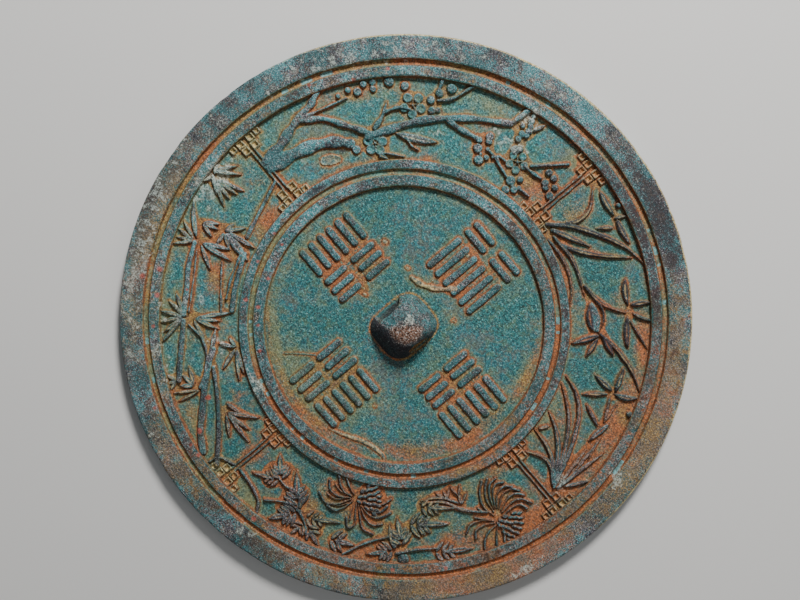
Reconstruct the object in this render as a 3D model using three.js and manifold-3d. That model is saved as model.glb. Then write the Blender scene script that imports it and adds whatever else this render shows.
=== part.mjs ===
import * as THREE from 'three';
import { mergeVertices } from 'three/addons/utils/BufferGeometryUtils.js';
import Module from 'manifold-3d';

const wasm = await Module();
wasm.setup();

// Cast bronze hand mirror, lying with its polished face down, in millimetres.
// Z runs up through the knob, X runs along the cord hole, and the origin is the
// middle of the polished face.

// Disc
const MIRROR_DIAMETER = 210;
const PLATE_THICKNESS = 3.6;
const RIM_WIDTH = 8.7;
const RIM_RISE = 2.0;
const OUTER_GROOVE_WIDTH = 2.1;
const OUTER_RIDGE_WIDTH = 4.0;
const OUTER_RIDGE_RISE = 1.7;
const PICTURE_BAND_WIDTH = 29.3;
const MIDDLE_RING_WIDTH = 3.4;
const INNER_GROOVE_WIDTH = 2.0;
const INNER_RING_WIDTH = 4.1;
const RING_RISE = 1.4;
const GROOVE_DEPTH = 1.0;
const WALL_DRAFT = 0.3;
const EDGE_BEVEL = 0.7;
const CIRCLE_STEPS = 64;

// Knob, pierced along X by the cord hole
const KNOB_LENGTH = 19.4;
const KNOB_BREADTH = 22.4;
const KNOB_RISE = 9.4;
const KNOB_TOP_LENGTH = 13.6;
const KNOB_TOP_BREADTH = 14.8;
const KNOB_CORNER_RADIUS = 6.2;
const KNOB_CROWN = 0.9;
const CORD_HOLE_WIDTH = 7.2;
const CORD_HOLE_HEIGHT = 5.6;
const CORD_HOLE_FLARE = 1.5;

// Raised work
const BRANCH_RISE = 1.3;
const LEAF_RISE = 1.15;
const BLOSSOM_RISE = 1.25;
const FRET_RISE = 0.8;
const FRET_LINE_WIDTH = 0.75;
const STROKE_RISE = 0.9;
const STROKE_WIDTH = 1.9;
const STROKE_BLOCK_SIZE = 25;
const SEAM_RISE = 0.9;
const CUT_PAST = 0.8;
const SHORTEST_EDGE = 0.35;
const THINNEST_TRIANGLE = 0.01;

const RADIUS = MIRROR_DIAMETER / 2;
const rimInner = RADIUS - RIM_WIDTH;
const ridgeOuter = rimInner - OUTER_GROOVE_WIDTH;
const bandOuter = ridgeOuter - OUTER_RIDGE_WIDTH;
const bandInner = bandOuter - PICTURE_BAND_WIDTH;
const ringMiddle = bandInner - MIDDLE_RING_WIDTH;
const ringInner = ringMiddle - INNER_GROOVE_WIDTH;
const fieldRadius = ringInner - INNER_RING_WIDTH;
const rimTop = PLATE_THICKNESS + RIM_RISE;
const ridgeTop = PLATE_THICKNESS + OUTER_RIDGE_RISE;
const ringTop = PLATE_THICKNESS + RING_RISE;

// The band's carving is drawn on a scale where 58 is its inner edge and 86 its
// outer edge, at a turn in degrees clockwise from +Y seen from above.
const DRAWN_INNER = 58;
const DRAWN_OUTER = 86;
const DRAWN_UNIT = PICTURE_BAND_WIDTH / (DRAWN_OUTER - DRAWN_INNER);
const DEGREE = Math.PI / 180;

function onBand([turn, level]) {
  const radius = bandInner + (level - DRAWN_INNER) * DRAWN_UNIT;
  return new THREE.Vector3(
    radius * Math.sin(turn * DEGREE),
    radius * Math.cos(turn * DEGREE),
    0,
  );
}

// A place next to another one: right is clockwise, up is outwards.
function beside([turn, level], right, up) {
  return [turn + right / level / DEGREE, level + up];
}

function solidOf(geometry) {
  const bare = geometry.clone();
  bare.deleteAttribute('normal');
  bare.deleteAttribute('uv');
  const merged = mergeVertices(bare, 1e-4);
  const corners = Array.from(merged.index.array);
  const kept = [];
  for (let i = 0; i < corners.length; i += 3) {
    const [a, b, c] = corners.slice(i, i + 3);
    if (a !== b && b !== c && c !== a) {
      kept.push(a, b, c);
    }
  }
  return new wasm.Manifold(new wasm.Mesh({
    numProp: 3,
    vertProperties: Float32Array.from(merged.attributes.position.array),
    triVerts: Uint32Array.from(kept),
  }));
}

// A closed skin over sections with equally many corners, each one convex and
// listed anticlockwise when seen from the end of the stroke.
function loft(sections) {
  const corners = sections[0].length;
  const positions = sections.flat().flatMap((p) => [p.x, p.y, p.z]);
  const index = [];
  for (let s = 0; s + 1 < sections.length; s += 1) {
    for (let k = 0; k < corners; k += 1) {
      const a = s * corners + k;
      const b = s * corners + (k + 1) % corners;
      index.push(a, b, a + corners, b, b + corners, a + corners);
    }
  }
  const last = (sections.length - 1) * corners;
  for (let k = 1; k + 1 < corners; k += 1) {
    index.push(0, k + 1, k, last, last + k, last + k + 1);
  }
  const geometry = new THREE.BufferGeometry();
  geometry.setAttribute('position', new THREE.Float32BufferAttribute(positions, 3));
  geometry.setIndex(index);
  return solidOf(geometry);
}

// A raised line standing on the plate. The crown is the share of its width that
// is flat on top, and 0 makes a ridge.
function raisedLine(points, steps, widthAt, rise, crown) {
  const path = points.length > 2
    ? new THREE.CatmullRomCurve3(points, false, 'centripetal')
    : new THREE.LineCurve3(points[0], points[1]);
  const sections = [];
  for (let s = 0; s <= steps; s += 1) {
    const share = s / steps;
    const at = path.getPoint(share);
    const along = path.getTangent(share);
    const side = new THREE.Vector3(-along.y, along.x, 0).normalize();
    const half = widthAt(share) / 2;
    const top = Math.max(half * crown, 0);
    const height = rise * Math.min(1, 0.45 + half / DRAWN_UNIT);
    const corner = (offset, z) => at.clone().addScaledVector(side, offset).setZ(z);
    const low = PLATE_THICKNESS;
    const high = PLATE_THICKNESS + height;
    sections.push(crown > 0
      ? [corner(-half, low), corner(half, low), corner(top, high), corner(-top, high)]
      : [corner(-half, low), corner(half, low), corner(0, high)]);
  }
  return loft(sections);
}

// A pointed leaf: widest a little before its middle.
function leafBetween(from, to, width, bow = 0, rise = LEAF_RISE) {
  const start = onBand(from);
  const end = onBand(to);
  const along = end.clone().sub(start);
  const side = new THREE.Vector3(-along.y, along.x, 0).normalize();
  const middle = start.clone().lerp(end, 0.5).addScaledVector(side, bow * DRAWN_UNIT);
  const widthAt = (s) => DRAWN_UNIT * (0.3 + (width - 0.3) * Math.sin(Math.PI * s) ** 0.8);
  const steps = along.length() < 10 * DRAWN_UNIT ? 2 : 3;
  return raisedLine([start, middle, end], steps, widthAt, rise, 0);
}

// A long grass-like leaf along several places, broad at its root.
function bladeAlong(places, width, rise = LEAF_RISE) {
  const widthAt = (s) => DRAWN_UNIT * (0.35 + (width - 0.35) * Math.sin(Math.PI * (0.25 + 0.75 * s)));
  return raisedLine(places.map(onBand), places.length, widthAt, rise, 0);
}

// A woody branch with a flat worn top.
function branchAlong(places, rootWidth, tipWidth) {
  const widthAt = (s) => DRAWN_UNIT * (rootWidth + (tipWidth - rootWidth) * s);
  return raisedLine(places.map(onBand), Math.max(places.length - 1, 2), widthAt, BRANCH_RISE, 0.45);
}

// A rounded bud, berry or petal.
function budAt(place, size, rise = BLOSSOM_RISE) {
  const middle = onBand(place);
  const corners = size > 1.5 ? 6 : 5;
  const ring = (radius, z) => Array.from({ length: corners }, (_, k) => new THREE.Vector3(
    middle.x + radius * Math.cos(k * 2 * Math.PI / corners),
    middle.y + radius * Math.sin(k * 2 * Math.PI / corners),
    z,
  ));
  const radius = size * DRAWN_UNIT;
  return loft([
    ring(radius, PLATE_THICKNESS),
    ring(radius * 0.5, PLATE_THICKNESS + rise),
  ]);
}

// A plum blossom: petals round its heart, the first one at the given heading.
function blossomAt(place, petals, spread, size, heading = 90) {
  const parts = [];
  for (let k = 0; k < petals; k += 1) {
    const angle = (heading + k * 360 / petals) * DEGREE;
    parts.push(budAt(beside(place, spread * Math.cos(angle), spread * Math.sin(angle)), size));
  }
  return parts;
}

// Leaves spread from one hub between two headings.
function sprayFrom(place, first, last, count, length, width, bow = 0) {
  const parts = [];
  for (let k = 0; k < count; k += 1) {
    const angle = (first + (last - first) * k / Math.max(count - 1, 1)) * DEGREE;
    const reach = length * (1 - 0.12 * (k % 2));
    const near = beside(place, 0.9 * Math.cos(angle), 0.9 * Math.sin(angle));
    const tip = beside(place, reach * Math.cos(angle), reach * Math.sin(angle));
    parts.push(leafBetween(near, tip, width, bow));
  }
  return parts;
}

// A chrysanthemum: long petals that curl at their tips, fanned from a hub,
// and short rows of small petals heaped on its other side.
function chrysanthemumAt(hub, first, last, count, length, curl) {
  const parts = [];
  for (let k = 0; k < count; k += 1) {
    const share = k / (count - 1);
    const angle = (first + (last - first) * share) * DEGREE;
    const reach = length * (0.8 + 0.2 * Math.sin(Math.PI * share));
    const near = beside(hub, 1.2 * Math.cos(angle), 1.2 * Math.sin(angle));
    const tip = beside(hub, reach * Math.cos(angle), reach * Math.sin(angle));
    parts.push(leafBetween(near, tip, 1.9, curl));
  }
  return parts;
}

function heapAt(place, rows, size, heading) {
  const parts = [];
  for (let row = 0; row < rows; row += 1) {
    const count = 2 + row;
    for (let k = 0; k < count; k += 1) {
      const angle = (heading + (k - (count - 1) / 2) * 46) * DEGREE;
      const reach = 1.6 + row * 2.4;
      parts.push(budAt(beside(place, reach * Math.cos(angle), reach * Math.sin(angle)), size));
    }
  }
  return parts;
}

// A key-fret square: a thin raised frame.
function fretAt(turn, level, width, height) {
  const middle = onBand([turn, level]);
  const frame = (halfWidth, halfHeight, z) => [
    [-halfWidth, -halfHeight], [halfWidth, -halfHeight], [halfWidth, halfHeight], [-halfWidth, halfHeight],
  ].map(([x, y]) => new THREE.Vector3(x, y, z));
  const half = width * DRAWN_UNIT / 2;
  const tall = height * DRAWN_UNIT / 2;
  const low = PLATE_THICKNESS;
  const high = PLATE_THICKNESS + FRET_RISE;
  const block = loft([frame(half, tall, low), frame(half, tall, high)]);
  const well = loft([
    frame(half - FRET_LINE_WIDTH, tall - FRET_LINE_WIDTH, low - CUT_PAST),
    frame(half - FRET_LINE_WIDTH, tall - FRET_LINE_WIDTH, high + CUT_PAST),
  ]);
  return block.subtract(well).rotate([0, 0, -turn]).translate([middle.x, middle.y, 0]);
}

// A divider between two pictures: a double line with stepped frets at both ends.
function dividerAt(turn) {
  const parts = [];
  for (const side of [-1, 1]) {
    const offset = side * 0.75;
    parts.push(raisedLine(
      [onBand(beside([turn, 63], offset, 0)), onBand(beside([turn, 80], offset, 0))],
      1, () => FRET_LINE_WIDTH, FRET_RISE / 0.6, 0.6,
    ));
    parts.push(fretAt(turn + side * 1.35, 81.5, 2.9, 3.0));
    parts.push(fretAt(turn + side * 1.45, 84.7, 2.9, 3.2));
    parts.push(fretAt(turn + side * 3.6, 84.9, 2.6, 2.8));
    parts.push(fretAt(turn + side * 2.0, 62.2, 3.1, 3.2));
    parts.push(fretAt(turn + side * 2.2, 59.0, 3.1, 2.9));
    parts.push(fretAt(turn + side * 5.0, 58.9, 2.6, 2.6));
  }
  return parts;
}

function plumPicture() {
  return [
    branchAlong([[-89, 74], [-84, 74.5], [-79, 78.5], [-75, 81.5], [-71, 84], [-69.5, 86.5]], 5.6, 2.2),
    branchAlong([[-89, 72], [-83, 71], [-76, 69.8], [-70, 68], [-65.5, 65.3]], 5.4, 3.2),
    branchAlong([[-77, 79.5], [-71, 77], [-66.5, 73], [-62, 69.8], [-58, 67.5]], 2.0, 2.0),
    branchAlong([[-76, 80], [-69, 80.3], [-63.5, 81]], 1.3, 0.7),
    branchAlong([[-60, 66.8], [-54, 68.3], [-46, 71], [-38, 73.5], [-30, 76], [-22, 79]], 3.4, 2.2),
    branchAlong([[-22, 79], [-20.8, 82], [-19.4, 86.8]], 2.2, 2.8),
    branchAlong([[-56, 69.8], [-55.4, 73], [-53.9, 77.5]], 2.2, 0.7),
    branchAlong([[-54.5, 74.5], [-50.5, 75.6], [-47, 75]], 1.3, 1.1),
    branchAlong([[-41, 78.5], [-37.5, 80.5], [-33.4, 86.4]], 1.3, 1.5),
    branchAlong([[-41.4, 82], [-41.2, 86.5]], 1.3, 1.8),
    branchAlong([[-38, 73.5], [-34.5, 71], [-28, 69.4]], 2.2, 1.7),
    branchAlong([[-24, 67.5], [-20, 65.6], [-15.6, 63]], 1.3, 1.0),
    branchAlong([[-24, 70], [-17, 69.6], [-12, 69.7], [-6.2, 69.2]], 1.0, 1.2),
    branchAlong([[-11, 70.4], [-4.2, 80.4]], 1.2, 1.2),
    branchAlong([[-10.2, 61.8], [-5.6, 62.6]], 0.9, 0.9),
    branchAlong([[-49, 64.6], [-47.4, 62.6], [-45, 61]], 0.9, 0.7),
    leafBetween([-52, 66.8], [-39.4, 64.8], 3.2, -0.8),
    leafBetween([-76.4, 64.2], [-69.4, 62.8], 4.6),
    leafBetween([-55, 59.6], [-48.8, 60], 1.4),
    leafBetween([-19.2, 75.4], [-17.4, 84.4], 3.4),
    leafBetween([-17.4, 77.6], [-15, 84.8], 1.6),
    ...blossomAt([-58.4, 64.2], 5, 2.5, 1.6, 60),
    ...blossomAt([-47.4, 76.2], 6, 2.4, 1.35, 30),
    ...blossomAt([-42.2, 77.8], 5, 2.2, 1.3, 90),
    ...blossomAt([-25.8, 66.2], 5, 2.6, 1.6, 100),
    ...blossomAt([-14.2, 66.4], 3, 1.5, 1.3, 90),
    ...blossomAt([-4.4, 71.2], 4, 2.0, 1.3, 20),
    ...blossomAt([-12.2, 62.2], 5, 2.6, 1.4, 40),
    budAt([-64.6, 63.6], 1.6),
    budAt([-60, 83], 1.6),
    budAt([-57.4, 82.6], 1.3),
    budAt([-53, 84.6], 1.7),
    budAt([-49.4, 83], 1.4),
    budAt([-64.8, 82.6], 1.0),
    budAt([-38.2, 83.4], 1.8),
    budAt([-25.4, 71.6], 1.2),
    budAt([-17.4, 72.2], 1.6),
    budAt([-1.9, 67.9], 1.5),
  ];
}

function orchidPicture() {
  return [
    bladeAlong([[7.6, 66.6], [8.8, 71], [7.6, 76.2], [3.4, 81.2]], 1.5),
    bladeAlong([[4.4, 60.8], [9, 67.4], [15, 74.8], [20, 81], [25.4, 86.2]], 2.0),
    bladeAlong([[12, 61], [17, 66.4], [20.6, 73.6], [23.3, 82.6]], 1.8),
    bladeAlong([[7, 61.4], [12, 65.4], [16.8, 70.2]], 2.1),
    bladeAlong([[9, 60.6], [19, 63], [30.4, 63.8]], 1.5),
    bladeAlong([[9, 58.4], [15, 59.6], [22, 60.3], [28, 59.6], [33.4, 58.2]], 1.2),
    bladeAlong([[27.4, 64.4], [32, 67.6], [35, 72.2], [36.6, 77.4]], 1.4),
    bladeAlong([[42.4, 68.6], [46, 74.2], [51, 81], [56.2, 86.4]], 1.5),
    leafBetween([5.4, 82.2], [12.4, 82.2], 2.2, -0.5),
    leafBetween([13.2, 82.4], [20, 83.4], 2.2, -0.7),
    leafBetween([14.8, 80], [13, 74.6], 1.3),
    leafBetween([12.8, 81.6], [13.6, 86.4], 1.2),
    leafBetween([28, 78.6], [34.6, 78.4], 2.4, -0.8),
    leafBetween([37.6, 78], [45.8, 78.6], 2.4, -0.7),
    leafBetween([34.6, 79.4], [34.4, 86.4], 1.9),
    leafBetween([36.8, 79.8], [38.8, 86.4], 1.5, -0.6),
    leafBetween([38.4, 78.6], [45.6, 85.6], 1.1),
    leafBetween([42.4, 67.8], [32.8, 66.4], 5.2),
    leafBetween([42.6, 69.4], [48.2, 74], 2.4),
    leafBetween([42.8, 68.4], [45.9, 59], 2.4),
    leafBetween([43.6, 68], [49.6, 64.6], 2.0),
    leafBetween([57.6, 77.8], [50.8, 78.4], 2.2),
    leafBetween([58, 77.6], [57.2, 86], 2.4, -1.2),
    leafBetween([57.6, 76.6], [54.4, 69], 2.2),
    leafBetween([58.6, 75.6], [61, 67.2], 1.5),
    leafBetween([59.2, 76.6], [66, 78.4], 1.3),
    leafBetween([67.6, 77], [63.4, 69.8], 1.6),
    leafBetween([65.6, 80.2], [72.2, 76.8], 2.2),
    leafBetween([70, 80], [84, 80], 1.3),
    bladeAlong([[87.4, 78.4], [78, 73.8], [68, 69.6], [61.6, 65], [57.2, 59.4]], 1.7),
    bladeAlong([[87, 77.8], [79, 72.6], [69, 66.2], [60.2, 59]], 1.7),
    bladeAlong([[86.6, 77], [80.4, 71.4], [75, 65.6], [70.8, 59.4]], 2.2),
    bladeAlong([[86.2, 76.4], [82, 70], [80, 65], [78.6, 58.8]], 1.6),
    bladeAlong([[87, 77], [83.8, 71.4], [84, 66.4], [86.8, 61.2]], 1.5),
    bladeAlong([[86.8, 79.4], [79, 81], [72.6, 83.8]], 1.7),
    leafBetween([85.6, 80.6], [79.8, 86.2], 1.8),
    leafBetween([86, 79], [75, 77.6], 1.3),
    leafBetween([77.6, 59.8], [74.6, 62.4], 1.5),
  ];
}

function chrysanthemumPicture() {
  return [
    ...chrysanthemumAt([104.6, 76.4], 172, 282, 9, 12.4, 1.6),
    ...chrysanthemumAt([105.4, 77.4], 8, 78, 4, 8.6, -1.5),
    ...heapAt([103.4, 78.4], 2, 1.5, 118),
    ...chrysanthemumAt([146.2, 65.6], 128, 96, 4, 10.4, 2.2),
    ...chrysanthemumAt([146.8, 65.4], 62, 34, 3, 13.4, 1.6),
    ...chrysanthemumAt([147, 64], 14, -44, 3, 9.8, 1.4),
    ...heapAt([144.4, 64], 2, 1.5, 186),
    bladeAlong([[106, 73], [112, 69.6], [117.6, 65.4], [125.4, 63.6]], 1.2),
    branchAlong([[121, 81], [126, 81.2], [132.4, 82.6]], 1.0, 1.0),
    branchAlong([[168.2, 86], [170.4, 81.6], [174, 79.2], [178.6, 78]], 1.5, 1.2),
    branchAlong([[155.4, 84.6], [157.2, 79.4], [159.6, 76.6]], 1.1, 1.3),
    branchAlong([[159.6, 76.6], [165, 76.8], [169.6, 80.4]], 1.1, 0.9),
    ...sprayFrom([129.4, 71.8], 152, 200, 3, 13, 2.6),
    ...sprayFrom([113.4, 66.2], 206, 300, 4, 6, 1.7),
    leafBetween([114, 64.8], [125.4, 63], 2.2, -0.9),
    leafBetween([114, 68.6], [121.4, 69], 2.8),
    leafBetween([117.6, 66.8], [125.8, 66.6], 2.2),
    ...sprayFrom([130.8, 79], 244, 296, 4, 7.8, 1.7),
    leafBetween([132.6, 80.6], [134.6, 72.4], 1.7, 0.6),
    budAt([130.2, 84.6], 1.9),
    leafBetween([113.2, 84.4], [118.6, 81.4], 1.8),
    leafBetween([115.8, 85.6], [122.8, 82], 2.4),
    ...sprayFrom([133.4, 81.6], 14, 62, 3, 7.4, 2.0),
    ...sprayFrom([149.4, 83], 168, 230, 3, 5.6, 2.4),
    ...sprayFrom([157.6, 75], 160, 206, 3, 11, 2.2),
    ...sprayFrom([156.6, 80], 84, 138, 3, 6.4, 2.2),
    ...sprayFrom([160.2, 77.2], 30, 70, 3, 8.6, 1.9),
    ...sprayFrom([160.8, 75.6], -66, -12, 4, 10, 2.2),
    leafBetween([169, 71.4], [175.4, 75.4], 1.9),
    ...sprayFrom([169.4, 70.8], -58, -4, 3, 7, 1.9),
    leafBetween([161.4, 70.4], [166.4, 64.2], 2.2),
  ];
}

function bambooPicture() {
  return [
    branchAlong([[185, 84.6], [190, 79.8], [196, 75], [203, 72], [211, 68.6]], 3.6, 2.6),
    branchAlong([[203.6, 75.4], [212, 72.2], [220.6, 75.6], [223, 77]], 1.6, 1.4),
    branchAlong([[207, 80.8], [215, 79.2], [222.6, 78.2]], 2.2, 1.6),
    branchAlong([[222.6, 78], [232, 77.6], [242.6, 79]], 1.9, 1.5),
    branchAlong([[224.6, 62.6], [234, 62.4], [246, 61.6]], 1.6, 1.4),
    branchAlong([[225.4, 64.4], [233, 65.4], [241, 67.6]], 1.2, 0.9),
    branchAlong([[250.4, 63.6], [258, 64.6], [269, 67.8]], 1.2, 1.1),
    branchAlong([[224, 74.6], [233, 72.8], [242.4, 76.2]], 1.2, 1.3),
    leafBetween([207.4, 65.8], [214.8, 64.6], 3.2),
    leafBetween([209.6, 59.8], [215, 64.4], 1.6),
    leafBetween([201.6, 62.2], [209.8, 60.2], 1.6),
    leafBetween([201, 59.6], [208, 59], 1.3),
    ...sprayFrom([194.8, 70.4], 186, 232, 4, 13, 2.0),
    ...sprayFrom([205.4, 80.4], 68, 112, 3, 5.4, 1.3),
    ...sprayFrom([203.2, 76], 58, 96, 2, 5.6, 1.3),
    ...sprayFrom([222.8, 79], 42, 136, 6, 8, 1.5),
    ...sprayFrom([222.8, 73.6], 212, 282, 4, 11.4, 2.0),
    ...sprayFrom([242.4, 79.6], 58, 124, 5, 7.2, 1.5),
    ...sprayFrom([242.6, 75.4], 214, 276, 4, 11, 2.2),
    ...sprayFrom([246.8, 78.6], 258, 298, 3, 6, 1.6),
    ...sprayFrom([248.6, 70.6], 226, 322, 5, 9.6, 1.9),
    ...sprayFrom([258.4, 83], 238, 304, 6, 9.2, 1.5),
    ...sprayFrom([259.4, 82.4], 22, 132, 4, 4.6, 1.5),
  ];
}

// Rows of plain short strokes in four square blocks round the knob. Places in
// a block run from -1 to 1 across it.
function strokeBlock(centreX, centreY, strokes) {
  const half = (STROKE_BLOCK_SIZE - STROKE_WIDTH) / 2;
  return strokes.map((ends) => {
    const points = ends.map(([x, y]) => new THREE.Vector3(centreX + x * half, centreY + y * half, 0));
    const reach = points[1].clone().sub(points[0]).setLength(STROKE_WIDTH / 2);
    return raisedLine(
      [points[0].sub(reach), points[1].add(reach)],
      1, () => STROKE_WIDTH, STROKE_RISE, 0.55,
    );
  });
}

function rowsOfStrokes() {
  const middle = (KNOB_BREADTH / 2 + fieldRadius) / 2 + 0.04 * fieldRadius;
  const level = (left, right, heights) => heights.map((y) => [[left, y], [right, y]]);
  const upright = (low, high, places) => places.map((x) => [[x, low], [x, high]]);
  return [
    ...strokeBlock(0, middle, [
      ...level(-1, -0.25, [1, 0.62]),
      ...level(0.25, 1, [1, 0.62]),
      ...upright(-1, 0.2, [-1, -0.6, -0.2, 0.2, 0.6, 1]),
    ]),
    ...strokeBlock(middle, 0, [
      ...upright(0.2, 0.95, [-1, -0.65, -0.3]),
      ...upright(-0.9, -0.2, [-1, -0.65, -0.3]),
      ...level(0.1, 1, [0.95, 0.57, 0.19, -0.19, -0.57, -0.95]),
    ]),
    ...strokeBlock(0, -middle, [
      ...upright(0.2, 1, [-1, -0.6, -0.2]),
      ...upright(-1, -0.2, [-1, -0.6, -0.2]),
      ...level(0.2, 1, [0.92, 0.55, 0.18, -0.19, -0.56, -0.93]),
    ]),
    ...strokeBlock(-middle, 0, [
      ...level(-1, -0.15, [0.95, 0.57, 0.19, -0.19, -0.57, -0.95]),
      ...upright(-0.95, -0.25, [0.25, 0.62, 1]),
      ...upright(0.2, 0.95, [0.25, 0.62, 1]),
    ]),
  ];
}

// A raised seam left by the casting, curving away from the knob.
function castingSeam() {
  const reach = fieldRadius;
  const places = [[-0.23, 0.27], [-0.13, 0.3], [-0.03, 0.38], [0.03, 0.46]];
  const points = places.map(([x, y]) => new THREE.Vector3(x * reach, y * reach, 0));
  return raisedLine(points, 5, (s) => 2.2 - 0.9 * Math.abs(2 * s - 1), SEAM_RISE, 0.3);
}

function disc() {
  const floorOf = (top) => top - GROOVE_DEPTH;
  const profile = [
    [0, 0],
    [RADIUS - EDGE_BEVEL, 0],
    [RADIUS, EDGE_BEVEL],
    [RADIUS, rimTop - EDGE_BEVEL],
    [RADIUS - EDGE_BEVEL, rimTop],
    [rimInner, rimTop],
    [rimInner - WALL_DRAFT, floorOf(ridgeTop)],
    [ridgeOuter + WALL_DRAFT, floorOf(ridgeTop)],
    [ridgeOuter, ridgeTop],
    [bandOuter, ridgeTop],
    [bandOuter - WALL_DRAFT, PLATE_THICKNESS],
    [bandInner + WALL_DRAFT, PLATE_THICKNESS],
    [bandInner, ringTop],
    [ringMiddle, ringTop],
    [ringMiddle - WALL_DRAFT, floorOf(ringTop)],
    [ringInner + WALL_DRAFT, floorOf(ringTop)],
    [ringInner, ringTop],
    [fieldRadius, ringTop],
    [fieldRadius - WALL_DRAFT, PLATE_THICKNESS],
    [0, PLATE_THICKNESS],
  ].map(([r, z]) => new THREE.Vector2(r, z));
  const lathe = new THREE.LatheGeometry(profile, CIRCLE_STEPS);
  lathe.rotateX(Math.PI / 2);
  return solidOf(lathe);
}

// The knob narrows to a worn, slightly crowned top.
function knob() {
  const outline = (length, breadth, radius, z) => {
    const points = [];
    const steps = 4;
    const corner = Math.min(radius, length / 2 - 0.2, breadth / 2 - 0.2);
    for (let quarter = 0; quarter < 4; quarter += 1) {
      const signX = quarter === 0 || quarter === 3 ? 1 : -1;
      const signY = quarter < 2 ? 1 : -1;
      for (let k = 0; k < steps; k += 1) {
        const angle = (quarter + k / (steps - 1)) * Math.PI / 2;
        points.push(new THREE.Vector3(
          signX * (length / 2 - corner) + corner * Math.cos(angle),
          signY * (breadth / 2 - corner) + corner * Math.sin(angle),
          z,
        ));
      }
    }
    return points;
  };
  const top = PLATE_THICKNESS + KNOB_RISE;
  const body = loft([
    outline(KNOB_LENGTH, KNOB_BREADTH, KNOB_CORNER_RADIUS, PLATE_THICKNESS),
    outline(KNOB_LENGTH, KNOB_BREADTH, KNOB_CORNER_RADIUS, PLATE_THICKNESS + KNOB_RISE * 0.12),
    outline(KNOB_TOP_LENGTH, KNOB_TOP_BREADTH, KNOB_CORNER_RADIUS * 0.8, top - KNOB_CROWN * 1.6),
    outline(KNOB_TOP_LENGTH * 0.86, KNOB_TOP_BREADTH * 0.86, KNOB_CORNER_RADIUS * 0.7, top - KNOB_CROWN * 0.5),
    outline(KNOB_TOP_LENGTH * 0.45, KNOB_TOP_BREADTH * 0.45, KNOB_CORNER_RADIUS * 0.4, top),
  ]);
  const mouth = CORD_HOLE_FLARE;
  const arch = (x, wider) => {
    const half = CORD_HOLE_WIDTH / 2 + wider;
    const height = CORD_HOLE_HEIGHT + wider;
    const steps = 8;
    const points = [new THREE.Vector3(x, half, PLATE_THICKNESS - CUT_PAST)];
    for (let k = 0; k <= steps; k += 1) {
      const angle = Math.PI * k / steps;
      const rise = Math.min(half, height * 0.6);
      points.push(new THREE.Vector3(
        x,
        half * Math.cos(angle),
        PLATE_THICKNESS + height - rise + rise * Math.sin(angle),
      ));
    }
    points.push(new THREE.Vector3(x, -half, PLATE_THICKNESS - CUT_PAST));
    return points;
  };
  const end = KNOB_LENGTH / 2;
  const bore = loft([
    arch(-end - mouth, mouth * 1.4),
    arch(-end + mouth * 1.6, 0),
    arch(end - mouth * 1.6, 0),
    arch(end + mouth, mouth * 1.4),
  ]);
  return body.subtract(bore);
}

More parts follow.
